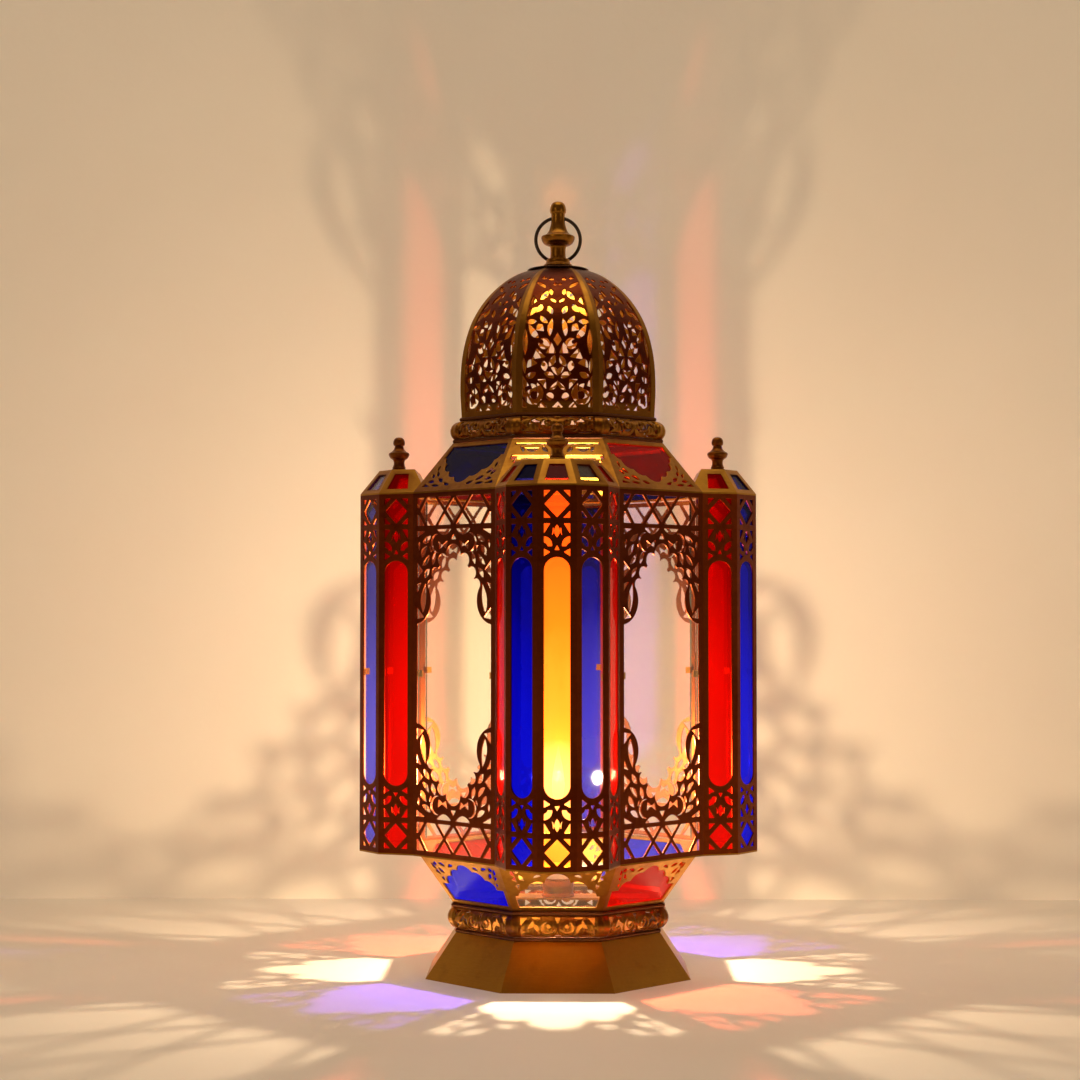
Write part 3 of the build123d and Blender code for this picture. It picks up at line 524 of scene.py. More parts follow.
def scroll_pattern(height, half_side):
    """The stamped acanthus strip for one side: two scroll circles either side of the middle with
    hooked holes in them, wedges between their leaves, and slots along the foot and the head."""

    def pattern(x, y):
        u, t = np.abs(x), y * STRIP_H / height
        cap = half_side - 4.2
        holes = [
            crescent(u, t, (SCROLL_OUT, 9.6, 4.9), (SCROLL_OUT - 1.1, 11.0, 4.3)),
            disc(u, t, SCROLL_OUT - 0.6, 11.4, 1.3),
            facet(u, t, (-2.6, 1.4), (2.6, 1.4), (0.0, 6.6)),
            facet(u, t, (-2.0, 18.6), (2.0, 18.6), (0.0, 14.6)),
            leaf(u, t, (cap - 11.6, 2.0), (cap - 1.4, 2.0), 1.9),
            leaf(u, t, (cap - 15.5, 18.4), (cap - 8.5, 18.8), 1.8),
            facet(u, t, (cap - 5.2, 18.6), (cap - 0.4, 18.6), (cap - 0.4, 12.6)),
            facet(u, t, (cap - 4.2, 6.4), (cap - 0.4, 3.6), (cap - 0.4, 9.4)),
            leaf(u, t, (cap - 13.6, 6.0), (cap - 8.6, 13.8), 2.6, bow=1.0),
            leaf(u, t, (cap - 9.6, 15.6), (cap - 5.6, 9.6), 2.4, bow=-0.8),
            leaf(u, t, (11.8, 3.0), (14.6, 6.6), 1.6),
        ]
        return -np.maximum.reduce(holes) - 0.3

    return pattern


def scroll_relief(height, half_side):
    """How far the stamped leaves stand out: ripples round each scroll, and the corner cap."""

    def relief(x, y):
        u, t = np.abs(x), y * STRIP_H / height
        ring = np.hypot(u - SCROLL_OUT, t - 10.4)
        far = np.hypot(u - half_side + 9.0, t - 10.0)
        ripples = 0.26 * np.cos(ring * 2 * pi / 3.1) + 0.2 * np.cos(far * 2 * pi / 3.6)
        cap = u > half_side - 3.7
        across = np.clip((half_side - 0.2 - u) / 3.5, 0.0, 1.0)
        rise = np.clip(np.sin(pi * np.clip(y / height, 0.0, 1.0)), 0.0, 1.0)
        return np.where(cap, 0.9 * np.sqrt(1 - (1 - across) ** 2 * 0.9) * rise, ripples * rise)

    return relief


def moulding(name, foot, bulge, top):
    """Stamps the strip, bulges it to its section and stands it in for the CAD moulding."""
    section = arc_profile(foot, bulge, top)
    height, half = section[0][-1], section[1].min() * SIDE_RATIO
    strip = scroll_pattern(height, half)
    relief = scroll_relief(height, half)
    shape = octagon_sheets(section, [(strip, EVERY_SIDE)], 0.42, fill=0.95, relief=relief)
    piece = make_piece(f"{name}_scrollwork", *shape, brass, sharp=40.0)
    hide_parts(name)


moulding("base_moulding", (77.3, 37.0), (83.4, 45.25), (79.8, 53.5))

# Bowl: eight slanted sides between the base and the body. The flat sides have a stepped arch and
# the diagonal ones a lobed window, with scroll holes in their upper corners.
BOWL = ((79.6, 56.5), (104.5, 93.5))
STRIP = 3.6  # the plain strip left along the folds


def wall_margin(section):
    """Distance from the strip along the folds, positive towards the middle of the side."""
    length, away = section[0], section[1]
    lean = (away[-1] - away[0]) * SIDE_RATIO / length[-1]

    def margin(u, y):
        return (np.interp(y, length, away) * SIDE_RATIO - u) / hypot(1, lean) - STRIP

    return margin


bowl_section = profile(BOWL)
bowl_margin = wall_margin(bowl_section)
BOWL_CORNER = {
    "leaves": (
        ((20.0, 36.5), (26.5, 39.0), 2.6, 0.5), ((24.6, 29.6), (28.6, 35.0), 2.8, -0.6),
        ((31.6, 33.0), (34.6, 39.2), 2.6, -0.5),
    ),
    "facets": (
        ((29.4, 27.6), (33.8, 30.4), (31.4, 33.2)), ((28.6, 21.0), (31.2, 24.6), (28.0, 26.0)),
    ),
    "discs": (
        (30.6, 38.2, 1.8),
    ),
}


def bowl_arch(x, y):
    """A stepped arch that stands on the bowl's foot."""
    u = np.abs(x)
    opening = np.minimum(14.5 - y, 28.6 - u + 0.25 * (y - 4))
    steps = [disc(u, y, 22.0, 14.5, 6.8), disc(u, y, 14.5, 21.0, 7.6), disc(u, y, 0.0, 26.5, 9.6),
             np.minimum(20.0 - u, 21.5 - y), np.minimum(9.0 - u, 30.0 - y)]
    opening = np.minimum(np.maximum.reduce([opening, *steps]), y - 3.6)
    holes = [opening, punched(u, y, **BOWL_CORNER), leaf(u, y, (12.0, 34.0), (18.0, 32.0), 2.4, bow=0.8)]
    return -np.minimum(np.maximum.reduce(holes), bowl_margin(u, y))


def bowl_lobes(x, y):
    """A lobed window, widest at the bowl's foot."""
    u = np.abs(x)
    lobes = [disc(u, y, 0.0, 30.5, 9.0), disc(u, y, 11.0, 26.5, 7.6), disc(u, y, 20.0, 20.5, 6.8),
             np.minimum(24.0 - y, 21.5 - u), np.minimum(19.0 - y, bowl_margin(u, y))]
    opening = np.minimum(np.maximum.reduce(lobes), y - 3.6)
    holes = [opening, punched(u, y, **BOWL_CORNER), leaf(u, y, (10.5, 38.0), (16.5, 36.0), 2.4, bow=0.8)]
    return -np.minimum(np.maximum.reduce(holes), bowl_margin(u, y))


bowl_sides = [(bowl_arch, FLAT_SIDES), (bowl_lobes, DIAGONAL_SIDES)]
bowl = make_piece("bowl_fretwork", *octagon_sheets(bowl_section, bowl_sides, CUT_STEP), brass)
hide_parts("bowl_frame")

# Panes: sheet glass held behind the brass. The coloured ones are stained through, streaky and a
# little wavy, and every pane has a painted glow that is brighter near the flame.
FLAME = (0.0, 0.0, 0.152)
# The panes' painted glow and painted halo, by distance from the flame in metres.
PAINTED_GLOW_REACH = (0.148, 0.252)  # how far from the flame the glow starts to fade, and how far it reaches
PAINTED_HALO_REACH = (0.1520, 0.1565)


def pane_glass(name, tint, deep, glow, painted_glow_strength, shadow, painted_halo=None, wave=0.10, ior=1.18):
    """Glass whose stain runs between tint and deep by slow streaks, with seeds and waves in its
    surface. It lets lamps through as its own colour, has a painted glow by nearness to the flame,
    and may have a painted halo in it where the flame is right behind it."""
    finish = Finish(name)
    place = finish.place()
    streaks = finish.noise(finish.stretched(place, (38.0, 38.0, 9.0)), 1.0, detail=4.0, distortion=1.2)
    seeds = finish.noise(place, 320.0, detail=2.0)
    waves = finish.noise(place, 34.0, detail=2.0)
    stain = finish.mix(finish.spread(streaks, 0.35, 0.70), tint, deep)
    # Painted glow: emission brighter nearer the flame and along the bright streaks, standing in for the
    # candle's light in the glass.
    away = finish.node("ShaderNodeVectorMath", {0: place, 1: FLAME}, output="Value", operation="DISTANCE")
    near = finish.spread(away, *PAINTED_GLOW_REACH, 1.0, 0.0)
    bright = finish.spread(streaks, 0.30, 0.75, 0.75, 1.0)
    painted_glow = finish.ramp(near * bright, (0.0, glow[0]), (0.45, glow[1]), (1.0, glow[2]))
    # Painted halo: a bright spot mixed into the painted glow where the flame is right behind the pane.
    if painted_halo:
        painted_glow = finish.mix(finish.spread(away, *PAINTED_HALO_REACH, 1.0, 0.0), painted_glow, painted_halo)
    ripples = finish.bump(waves + 0.25 * seeds, wave, 0.0010)
    glass = finish.principled({
        "Base Color": stain, "Roughness": 0.01 + 0.03 * seeds, "IOR": ior,
        "Transmission Weight": 1.0, "Emission Color": painted_glow, "Emission Strength": painted_glow_strength,
        "Normal": ripples,
    })
    lit = finish.node("ShaderNodeBsdfTransparent", {"Color": shadow})
    shadow_ray = finish.node("ShaderNodeLightPath", output="Is Shadow Ray")
    return finish.end(finish.node("ShaderNodeMixShader", {0: shadow_ray, 1: glass, 2: lit}))


clear_glass = pane_glass(
    "clear_glass", (1.0, 0.99, 0.96), (0.97, 0.96, 0.92),
    ((0.002, 0.001, 0.001), (0.01, 0.007, 0.004), (0.10, 0.07, 0.035)), 0.5, (0.97, 0.96, 0.93),
    wave=0.02, ior=1.45,
)
red_glass = pane_glass(
    "red_glass", (0.55, 0.008, 0.004), (0.34, 0.003, 0.002),
    ((0.15, 0.0, 0.0), (0.38, 0.001, 0.0), (0.84, 0.008, 0.001)), 0.38, (1.0, 0.40, 0.31),
)
blue_glass = pane_glass(
    "blue_glass", (0.003, 0.005, 0.50), (0.001, 0.001, 0.24),
    ((0.0, 0.0, 0.006), (0.0, 0.0, 0.13), (0.0, 0.002, 0.60)), 0.66, (0.34, 0.26, 1.0),
)
amber_glass = pane_glass(
    "amber_glass", (0.85, 0.20, 0.012), (0.85, 0.12, 0.008),
    ((0.76, 0.08, 0.006), (0.94, 0.22, 0.012), (1.0, 0.62, 0.060)), 0.86, (1.0, 0.55, 0.12),
    painted_halo=(1.3, 0.92, 0.30),
)
# Painted shade: a darker, browner copy of the amber glass with a dimmer painted glow, for the amber panes in
# the tower roofs.
shaded_amber_glass = pane_glass(
    "shaded_amber_glass", (0.22, 0.010, 0.004), (0.12, 0.004, 0.002),
    ((0.05, 0.001, 0.0), (0.10, 0.004, 0.0), (0.20, 0.010, 0.0)), 0.6, (0.9, 0.40, 0.20),
)
PANES = {"clear": clear_glass, "red": red_glass, "blue": blue_glass, "amber": amber_glass}
for tint, pane in PANES.items():
    if tint != "amber":
        refinish(pane, f"bowl_glass_{tint}")

# Body plates: the floor and the rim that the towers and panels are soldered between.
refinish(brass, "body_floor", "body_rim")

# Towers: half of a ten-sided column on each flat side, folded from one sheet. Every face has a
# round-ended slot, and above and below it a small flower and a diamond in a square. The cut sheet
# of the towers and panels takes a darker, deep red brown copy of the brass: painted shade.
# Painted shade: the brass's two colours darkened to a deep red brown, for the cut sheet.
SHADED_BRASS_TONES = ((0.30, 0.060, 0.009), (0.085, 0.007, 0.002))
shaded_brass = rubbed_brass("shaded_brass", *SHADED_BRASS_TONES, 0.22)
BODY_A = 110.0
BODY_BOTTOM, BODY_TOP = 94.7, 367.8
FACE_H = BODY_TOP - BODY_BOTTOM
MIDDLE = (BODY_TOP + BODY_BOTTOM) / 2
TOWER_FACES = 5
TOWER_TURN = 180 / TOWER_FACES
TOWER_R = BODY_A * SIDE_RATIO
TOWER_FACE_R = TOWER_R * cos(radians(TOWER_TURN / 2))
TOWER_FACE_W = 2 * TOWER_R * sin(radians(TOWER_TURN / 2))
POST = 4.6
WINDOW_HALF_H = FACE_H / 2 - 3.4
CELL_H = 19.8
BAR = 3.9
FLEUR_H = 24.0
OUTER_FOLD = tan(radians(TOWER_TURN / 2))  # how much a mitre takes off the inside of a fold
INNER_FOLD = -tan(radians(13.5))
TOWER_HALF = TOWER_FACE_W / 2 - POST


def tower_pattern(x, y):
    u, down = np.abs(x), WINDOW_HALF_H - np.abs(y)
    cell = CELL_H / 2 - np.abs(down - CELL_H / 2)
    f = down - CELL_H - BAR
    slot_centre = WINDOW_HALF_H - CELL_H - BAR - FLEUR_H - TOWER_HALF
    slot = TOWER_HALF - np.hypot(u, np.maximum(np.abs(y) - slot_centre, 0.0))
    petal = crescent(u, f, (9.7, 15.4, 6.2), (10.2, 17.0, 3.5))
    petal = np.minimum(petal, np.minimum(TOWER_HALF - u, 16.2 - f))
    holes = [
        slot,
        facet(u, down, (-9.1, 9.9), (0.0, 0.5), (9.1, 9.9), (0.0, 19.3)),
        facet(u, cell, (4.5, 0.1), (TOWER_HALF, 0.1), (TOWER_HALF, 5.1)),
        leaf(u, f, (0.0, 0.9), (0.0, 10.0), 3.9),
        facet(u, f, (4.9, 0.1), (TOWER_HALF, 0.1), (TOWER_HALF, 7.4)),
        petal,
        facet(u, f, (-1.8, 18.9), (1.8, 18.9), (0.0, 15.6)),
        facet(u, f, (4.9, 20.3), (TOWER_HALF, 17.9), (TOWER_HALF, 23.4)),
        leaf(u, f, (3.1, 2.2), (3.9, 8.8), 0.9, bow=0.8),
    ]
    return -np.maximum.reduce(holes)


def upright_blank(width, step=4.5):
    rows = np.linspace(-FACE_H / 2, FACE_H / 2, ceil(FACE_H / step) + 1)
    return strip_blank(rows, np.full_like(rows, width / 2))


def upright_bend(distance, bearing, centre, width, left, right):
    """Stands a face up at a distance from a centre, facing a bearing. Its inside is narrower or
    wider than its outside by the mitre of the fold on each hand."""
    c, s = cos(radians(bearing)), sin(radians(bearing))

    def place(x, y, depth):
        mitre = np.where(x > 0, right, left) * depth * 2 / width
        x = x * (1 - mitre)
        away = distance - depth
        return np.stack([centre[0] + away * c - x * s, centre[1] + away * s + x * c, MIDDLE + y], axis=1)

    return place


tower_sheet = pierce(upright_blank(TOWER_FACE_W), tower_pattern, CUT_STEP)
tower_parts = []
for face in range(TOWER_FACES):
    bend = upright_bend(
        TOWER_FACE_R, (face - TOWER_FACES // 2) * TOWER_TURN, (BODY_A, 0.0), TOWER_FACE_W,
        INNER_FOLD if face == 0 else OUTER_FOLD,
        INNER_FOLD if face == TOWER_FACES - 1 else OUTER_FOLD,
    )
    first, last = face == 0, face == TOWER_FACES - 1

    def folds(x, y, first=first, last=last):
        """Every fold but the tower's two free edges, where its sheet ends against the panels."""
        inner = np.abs(np.abs(x) - TOWER_FACE_W / 2) < FOLD_REACH
        return inner & ~((x < 0) & first) & ~((x > 0) & last)

    tower_parts.append(raised(tower_sheet, bend, folds))
tower_shape, tower_groups = joined(*tower_parts)
TOWERS = {"right": 0, "back": 90, "left": 180, "front": 270}
for hand, bearing in TOWERS.items():
    standing = turned(tower_shape, bearing)
    tower = make_piece(f"tower_{hand}_fretwork", standing, tower_groups, shaded_brass)
    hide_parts(f"tower_{hand}")
for tint, pane in PANES.items():
    refinish(pane, f"tower_glass_{tint}")

# Panels: an arched opening between the towers, its lobed edge edged with leafy fretwork, under
# and over a band of crossing bars. The back right one is the door and a little smaller.
PANEL_W = 2 * TOWER_R
PANEL_HALF = PANEL_W / 2 - POST
LATTICE_H = 21.5
ARCH_BAR = 2.6
LOBES = ((0.0, 19.7, 8.0), (12.0, 24.0, 5.3), (20.0, 33.6, 4.7), (24.9, 42.2, 4.4))
SWELL = (43.34, 54.06, 17.6)
# The band of crossing bars, by distance from its nearer long edge.
LATTICE = {
    "facets": (
        ((11.4, 10.75), (20.4, 0.15), (29.6, 0.15), (37.1, 10.75), (29.6, 21.4), (20.4, 21.4)),
        ((-8.3, 10.75), (0.0, 1.3), (8.3, 10.75), (0.0, 20.2)), ((2.4, 0.15), (17.4, 0.15), (9.9, 8.5)),
        ((32.8, 0.15), (PANEL_HALF, 0.15), (PANEL_HALF, 8.3), (39.3, 8.3)),
    ),
}
# The leaves and curls between the arch and the post, by drop below the arch's crossbar. Half a
# leaf is cut between that bar and the arch's crown.
SPANDREL = {
    "leaves": (
        ((25.6, 5.2), (34.6, 10.2), 4.2, 0.6), ((29.6, 12.6), (36.2, 21.4), 4.6, -0.6, 0.3),
        ((38.6, 9.4), (38.9, 16.2), 2.4), ((27.0, 19.6), (34.8, 27.6), 4.0, 0.8),
        ((20.4, 17.8), (23.6, 27.4), 4.2), ((26.6, 13.0), (24.6, 18.0), 1.9),
        ((26.8, 29.8), (32.8, 37.4), 4.4, -0.5), ((31.4, 41.0), (34.6, 63.4), 5.8, -0.6, 0.25),
    ),
    "facets": (
        ((-3.0, 8.4), (3.0, 8.4), (0.0, 4.2)), ((6.6, 9.0), (8.2, 15.2), (12.6, 12.4)),
        ((11.4, 12.9), (17.0, 9.4), (16.2, 15.9)), ((31.6, 1.4), (PANEL_HALF, 1.4), (PANEL_HALF, 5.9)),
        ((34.2, 31.4), (PANEL_HALF, 25.0), (PANEL_HALF, 37.4)),
        ((36.0, 40.2), (PANEL_HALF, 41.6), (PANEL_HALF, 48.2)),
        ((33.0, 66.6), (PANEL_HALF, 59.0), (PANEL_HALF, 67.8)),
    ),
    "crescents": (
        ((18.2, 11.0, 7.2), (16.2, 11.0, 6.9)),
    ),
}
CROWN_LEAF = ((2.2, 0.3), (18.9, 0.3), 9.0)


def arch_hole(u, f):
    """The arch: round lobes stepping down from its crown, all that lies under them, less the
    swelling that runs out to the post."""
    away, drop, _ = np.transpose(LOBES)
    line = np.interp(u, [*away, 28.9, 29.0], [*drop, 44.0, 54.0])
    under = np.minimum((f - line) * 0.8, PANEL_HALF - u)
    under = np.minimum(under, -disc(u, f, *SWELL))
    return np.maximum.reduce([under, *[disc(u, f, *lobe) for lobe in LOBES]])


def panel_pattern(x, y):
    u, down = np.abs(x), WINDOW_HALF_H - np.abs(y)
    edge = LATTICE_H / 2 - np.abs(down - LATTICE_H / 2)
    f = down - LATTICE_H - ARCH_BAR
    half_leaf = np.minimum(leaf(u, f, *CROWN_LEAF), f - 0.4)
    holes = [arch_hole(u, f), punched(u, edge, **LATTICE), half_leaf, punched(u, f, **SPANDREL)]
    return -np.maximum.reduce(holes)


panel_sheet = pierce(upright_blank(PANEL_W), panel_pattern, CUT_STEP)


def no_folds(x, y):
    return np.zeros(len(x), bool)


def panel_shape(bearing, shrink):
    bend = upright_bend(BODY_A, bearing, (0.0, 0.0), PANEL_W, INNER_FOLD * shrink, INNER_FOLD * shrink)

    def place(x, y, depth):
        return bend(x * (1 - 2 * (1 - shrink) / PANEL_W), y * (1 - 1.2 * (1 - shrink) / FACE_H), depth)

    return raised(panel_sheet, place, no_folds)


PANELS = {"back_left": 135, "front_left": 225, "front_right": 315}
for hand, bearing in PANELS.items():
    panel = make_piece(f"panel_{hand}_fretwork", *panel_shape(bearing, 1.0), shaded_brass)
    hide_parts(f"panel_{hand}")
door = make_piece("door_fretwork", *panel_shape(45, 0.0), shaded_brass, body="door")
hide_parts("door_frame")
refinish(clear_glass, "panel_glass", "door_glass")

# Clips and door fittings: bent brass tabs, hinge leaves, a steel pin in each hinge, and a flat
# hook on a rivet that swings under the head of a stud.
refinish(brass, "panel_clips", "glass_clips", "door_clips", "hinge_leaves_door", "hinge_leaves_tower")
refinish(brass, "latch_hook", "latch_rivet", "latch_stud")


def drawn_metal(name, bright, dull, polish):
    """Plain drawn metal: fine lines along it, with a dull bloom where it has been handled."""
    finish = Finish(name)
    place = finish.place()
    bloom = finish.noise(place, 60.0, detail=4.0)
    lines = finish.noise(finish.stretched(place, (400.0, 400.0, 40.0)), 1.0, detail=2.0)
    tone = finish.mix(finish.spread(bloom, 0.4, 0.7), bright, dull)
    shader = finish.principled({
        "Base Color": tone, "Roughness": polish + 0.2 * bloom, "Metallic": 1.0,
        "Normal": finish.bump(lines, 0.15, 0.0003),
    })
    return finish.end(shader)


steel = drawn_metal("steel_fixings", (0.48, 0.46, 0.43), (0.22, 0.20, 0.18), 0.22)
refinish(steel, "hinge_pins", "tower_finial_nuts", "crown_nut")

# Tower roofs: cast frames with a small pane in each slanted face, and a flat top for the finial.
refinish(brass, *[f"tower_roof_{hand}" for hand in TOWERS])
for tint, pane in PANES.items():
    # The amber panes here take the darker brown copy of the amber glass: painted shade.
    refinish(shaded_amber_glass if tint == "amber" else pane, f"tower_roof_glass_{tint}")

# Tower finials: turned brass knobs, each on a stud through its tower's roof.
FINIAL_R = 124.6
FINIAL_FOOT = 387.5


def smooth_run(points, steps=8):
    """A smooth line through points of a turned section. A point given twice keeps its corner."""
    points = np.asarray(points, float)
    breaks = [i for i in range(len(points) - 1) if np.allclose(points[i], points[i + 1])]
    runs, start = [], 0
    for stop in [*breaks, len(points) - 1]:
        run = points[start:stop + 1]
        start = stop + 1
        if len(run) < 3:
            runs.append(run)
            continue
        slope = np.gradient(run, axis=0)
        t = np.linspace(0, 1, steps, endpoint=False)[:, None]
        pieces = [smooth_cubic(run, slope, index, t) for index in range(len(run) - 1)]
        runs.append(np.concatenate([*pieces, run[-1:]]))
    line = np.concatenate(runs)
    keep = np.concatenate([[True], np.hypot(*np.diff(line, axis=0).T) > 1e-6])
    return line[keep]


def grid_quads(rows, columns, closed=False):
    """Faces on rows of points that run round; closed joins the last row to the first as well."""
    row, column = np.meshgrid(np.arange(rows if closed else rows - 1), np.arange(columns), indexing="ij")
    row, column = row.reshape(-1), column.reshape(-1)
    low, high = row * columns, (row + 1) % rows * columns
    after = (column + 1) % columns
    return np.stack([low + column, low + after, high + after, high + column], axis=1)


def turn_on_lathe(section, segments=64):
    """A closed turned solid: each point of the section, given as (radius, level) and running
    upwards, becomes a ring about the axis. Rings on the axis close to a point when welded."""
    radius, level = np.asarray(section, float).T
    angle = np.linspace(0, 2 * pi, segments, endpoint=False)
    shape = np.stack([
        radius[:, None] * np.cos(angle), radius[:, None] * np.sin(angle),
        np.repeat(level[:, None], segments, axis=1),
    ], axis=-1).reshape(-1, 3)
    return joined((shape, [grid_quads(len(radius), segments)]))


finial_section = smooth_run([
    (0.0, -5.0), (0.0, -5.0), (1.5, -5.0), (1.5, -5.0), (1.5, 0.0), (1.5, 0.0), (6.0, 0.0), (6.0, 0.0),
    (6.1, 0.9), (5.7, 1.7), (4.9, 2.3), (4.9, 2.3), (5.2, 3.0), (4.8, 3.9), (4.2, 6.0), (4.4, 8.4),
    (5.3, 9.6), (5.3, 9.6), (6.9, 10.7), (7.9, 12.6), (8.1, 13.6), (7.7, 14.6), (7.7, 14.6),
    (5.6, 15.9), (4.0, 17.7), (3.3, 20.0), (3.3, 20.0), (4.1, 20.6), (4.5, 21.6), (4.6, 22.8),
    (4.1, 24.8), (3.0, 26.2), (1.4, 26.9), (0.0, 27.0),
])
finial_section[:, 1] += FINIAL_FOOT
knob_shape, knob_groups = turn_on_lathe(finial_section, 48)
knob_shape = knob_shape + np.array([FINIAL_R, 0.0, 0.0])
knobs = joined(*[(turned(knob_shape, bearing), knob_groups) for bearing in TOWERS.values()])
finials = make_piece("tower_finials_turned", *knobs, brass, sharp=50.0)
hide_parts("tower_finials")

# Main roof: eight slanted sides up to the dome, glazed like the bowl, but with the lobed edge of
# the coloured windows hanging down and open bars in the flat sides behind the tower roofs.
ROOF = ((110.0, 369.0), (80.6, 407.0))
roof_section = profile(ROOF)
roof_margin = wall_margin(roof_section)
ROOF_CORNER = {
    "leaves": (
        ((9.0, 5.6), (16.4, 8.0), 2.6, -0.4), ((18.6, 8.4), (25.6, 12.2), 3.2, 0.5),
        ((20.0, 5.2), (29.0, 6.0), 2.2), ((28.2, 9.0), (35.4, 9.6), 2.8, 0.4),
        ((26.6, 14.4), (30.6, 19.6), 2.8, -0.4), ((31.6, 12.6), (35.2, 17.2), 2.6, 0.4),
        ((31.6, 19.6), (31.8, 25.6), 2.2, -0.3),
    ),
    "facets": (
        ((30.6, 4.8), (39.2, 4.8), (37.6, 7.6)),
    ),
}


def roof_lobes(x, y):
    """A window whose lobed edge is its lower one."""
    u = np.abs(x)
    lobes = [disc(u, y, 0.0, 17.0, 9.4), disc(u, y, 11.0, 20.5, 7.4), disc(u, y, 19.5, 26.0, 7.0),
             disc(u, y, 25.0, 33.0, 5.6), np.minimum(y - 22.0, 21.0 - u), y - 33.0]
    opening = np.minimum(np.maximum.reduce(lobes), 44.2 - y)
    return -np.minimum(np.maximum.reduce([opening, punched(u, y, **ROOF_CORNER)]), roof_margin(u, y))


def roof_bars(x, y):
    """Open bars, with the gap behind the tower's roof under them."""
    u = np.abs(x)
    holes = [
        np.minimum(np.minimum(y - 5.0, 22.0 - y), 30.0 - u),
        np.minimum(np.minimum(y - 27.4, 31.6 - y), u - 6.0),
        np.minimum(np.minimum(y - 42.0, 43.8 - y), u - 7.6),
        np.minimum(leaf(u, y, (13.4, 39.0), (24.6, 39.0), 8.4), 39.2 - y),
        leaf(u, y, (7.0, 34.6), (10.4, 40.6), 3.2, bow=-0.8),
        leaf(u, y, (25.4, 34.4), (27.2, 40.8), 2.4, bow=0.6),
        facet(u, y, (31.0, 24.0), (33.4, 24.0), (31.6, 27.4)),
    ]
    return -np.minimum(np.maximum.reduce(holes), roof_margin(u, y))


roof_sides = [(roof_bars, FLAT_SIDES), (roof_lobes, DIAGONAL_SIDES)]
roof = make_piece("roof_fretwork", *octagon_sheets(roof_section, roof_sides, CUT_STEP), brass)
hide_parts("roof_frame")
for tint, pane in PANES.items():
    if tint != "amber":
        refinish(pane, f"roof_glass_{tint}")

# Dome moulding: the same stamped strip as the base's, bent back towards the dome.
moulding("dome_moulding", (79.6, 410.0), (82.1, 415.8), (74.6, 424.0))

# Dome: eight curved gores of pierced sheet soldered along their folds. Each is a tree of curls
# over two scrolls, with plain metal left along the folds and round the foot. The gores take the
# painted-shade copy of the brass, with bright brass along the folds and foot and painted candle
# light inside.
DOME = (
    (74.0, 427.0), (75.0, 450.0), (72.6, 479.5), (65.5, 503.0), (48.5, 527.5), (32.6, 540.0), (20.0, 545.4),
)
GORE_FILE = 0.55  # how much every opening is filed out
GORE_HALF = {
    "leaves": (
        ((16.0, 6.4), (15.0, 21.6), 3.8, 2.6), ((16.8, 16.0), (19.8, 21.4), 2.4, 0.7),
        ((25.4, 12.0), (25.3, 19.0), 1.4), ((0.4, 22.6), (5.6, 17.2), 2.2, -0.5),
        ((2.8, 26.2), (9.8, 29.4), 3.2, 0.6), ((16.6, 29.6), (23.6, 27.0), 3.6, -0.5),
        ((0.2, 28.4), (4.4, 33.8), 2.6, 0.7), ((9.4, 31.4), (10.6, 38.6), 3.9),
        ((2.2, 42.6), (6.0, 35.0), 3.4, -0.4), ((15.6, 37.2), (22.9, 34.0), 4.2, 2.0),
        ((24.6, 30.2), (25.3, 39.8), 1.5), ((24.4, 44.6), (24.2, 62.4), 2.7),
        ((6.0, 58.6), (4.2, 71.8), 3.0, -0.5), ((14.6, 56.8), (21.4, 66.8), 3.6, -0.8, -0.4),
        ((7.8, 69.0), (12.6, 74.6), 2.9, -0.6), ((16.2, 70.2), (23.6, 69.6), 3.2),
        ((15.2, 82.6), (22.4, 74.8), 3.8, 0.6), ((4.2, 77.0), (6.8, 83.6), 3.0),
        ((15.6, 78.4), (12.0, 85.6), 3.3, 0.5), ((7.8, 99.4), (12.4, 90.4), 3.4, -0.6),
        ((4.6, 95.4), (5.2, 101.6), 1.9), ((9.4, 103.4), (15.6, 109.4), 2.9, 0.5),
        ((1.6, 88.0), (4.8, 91.0), 1.4),
    ),
    "facets": (
        ((-2.9, 4.4), (2.9, 4.4), (0.0, 7.4)), ((9.0, 4.4), (13.6, 4.4), (11.8, 7.2)),
        ((23.6, 4.6), (25.8, 4.6), (25.8, 8.6)), ((-1.3, 19.6), (0.0, 22.9), (1.3, 19.6), (0.0, 21.2)),
        ((9.2, 18.8), (14.2, 24.4), (9.4, 24.4)), ((22.2, 20.4), (25.6, 19.2), (25.6, 26.0)),
        ((10.2, 42.0), (18.4, 40.6), (15.6, 47.6)), ((2.0, 45.2), (8.0, 45.2), (4.6, 52.0)),
        ((-2.5, 55.2), (0.0, 51.2), (2.5, 55.2), (0.0, 59.8)),
        ((11.0, 62.6), (15.8, 63.4), (14.6, 67.8), (11.6, 67.2)),
        ((16.4, 88.6), (20.6, 84.6), (18.0, 92.6)),
    ),
    "discs": (
        (5.8, 12.1, 2.3), (10.4, 115.6, 1.25), (4.8, 114.2, 1.25), (1.9, 107.4, 0.9),
    ),
    "crescents": (
        ((19.0, 11.8, 5.2), (17.4, 13.0, 3.7)), ((10.2, 52.2, 3.8), (12.4, 53.6, 2.3)),
    ),
}


def gore_pattern(x, y):
    return -punched(np.abs(x), y, **GORE_HALF) - GORE_FILE


dome_section = profile(DOME, 400)
dome_shape = octagon_sheets(dome_section, [(gore_pattern, EVERY_SIDE)], 0.58, fill=2.4)


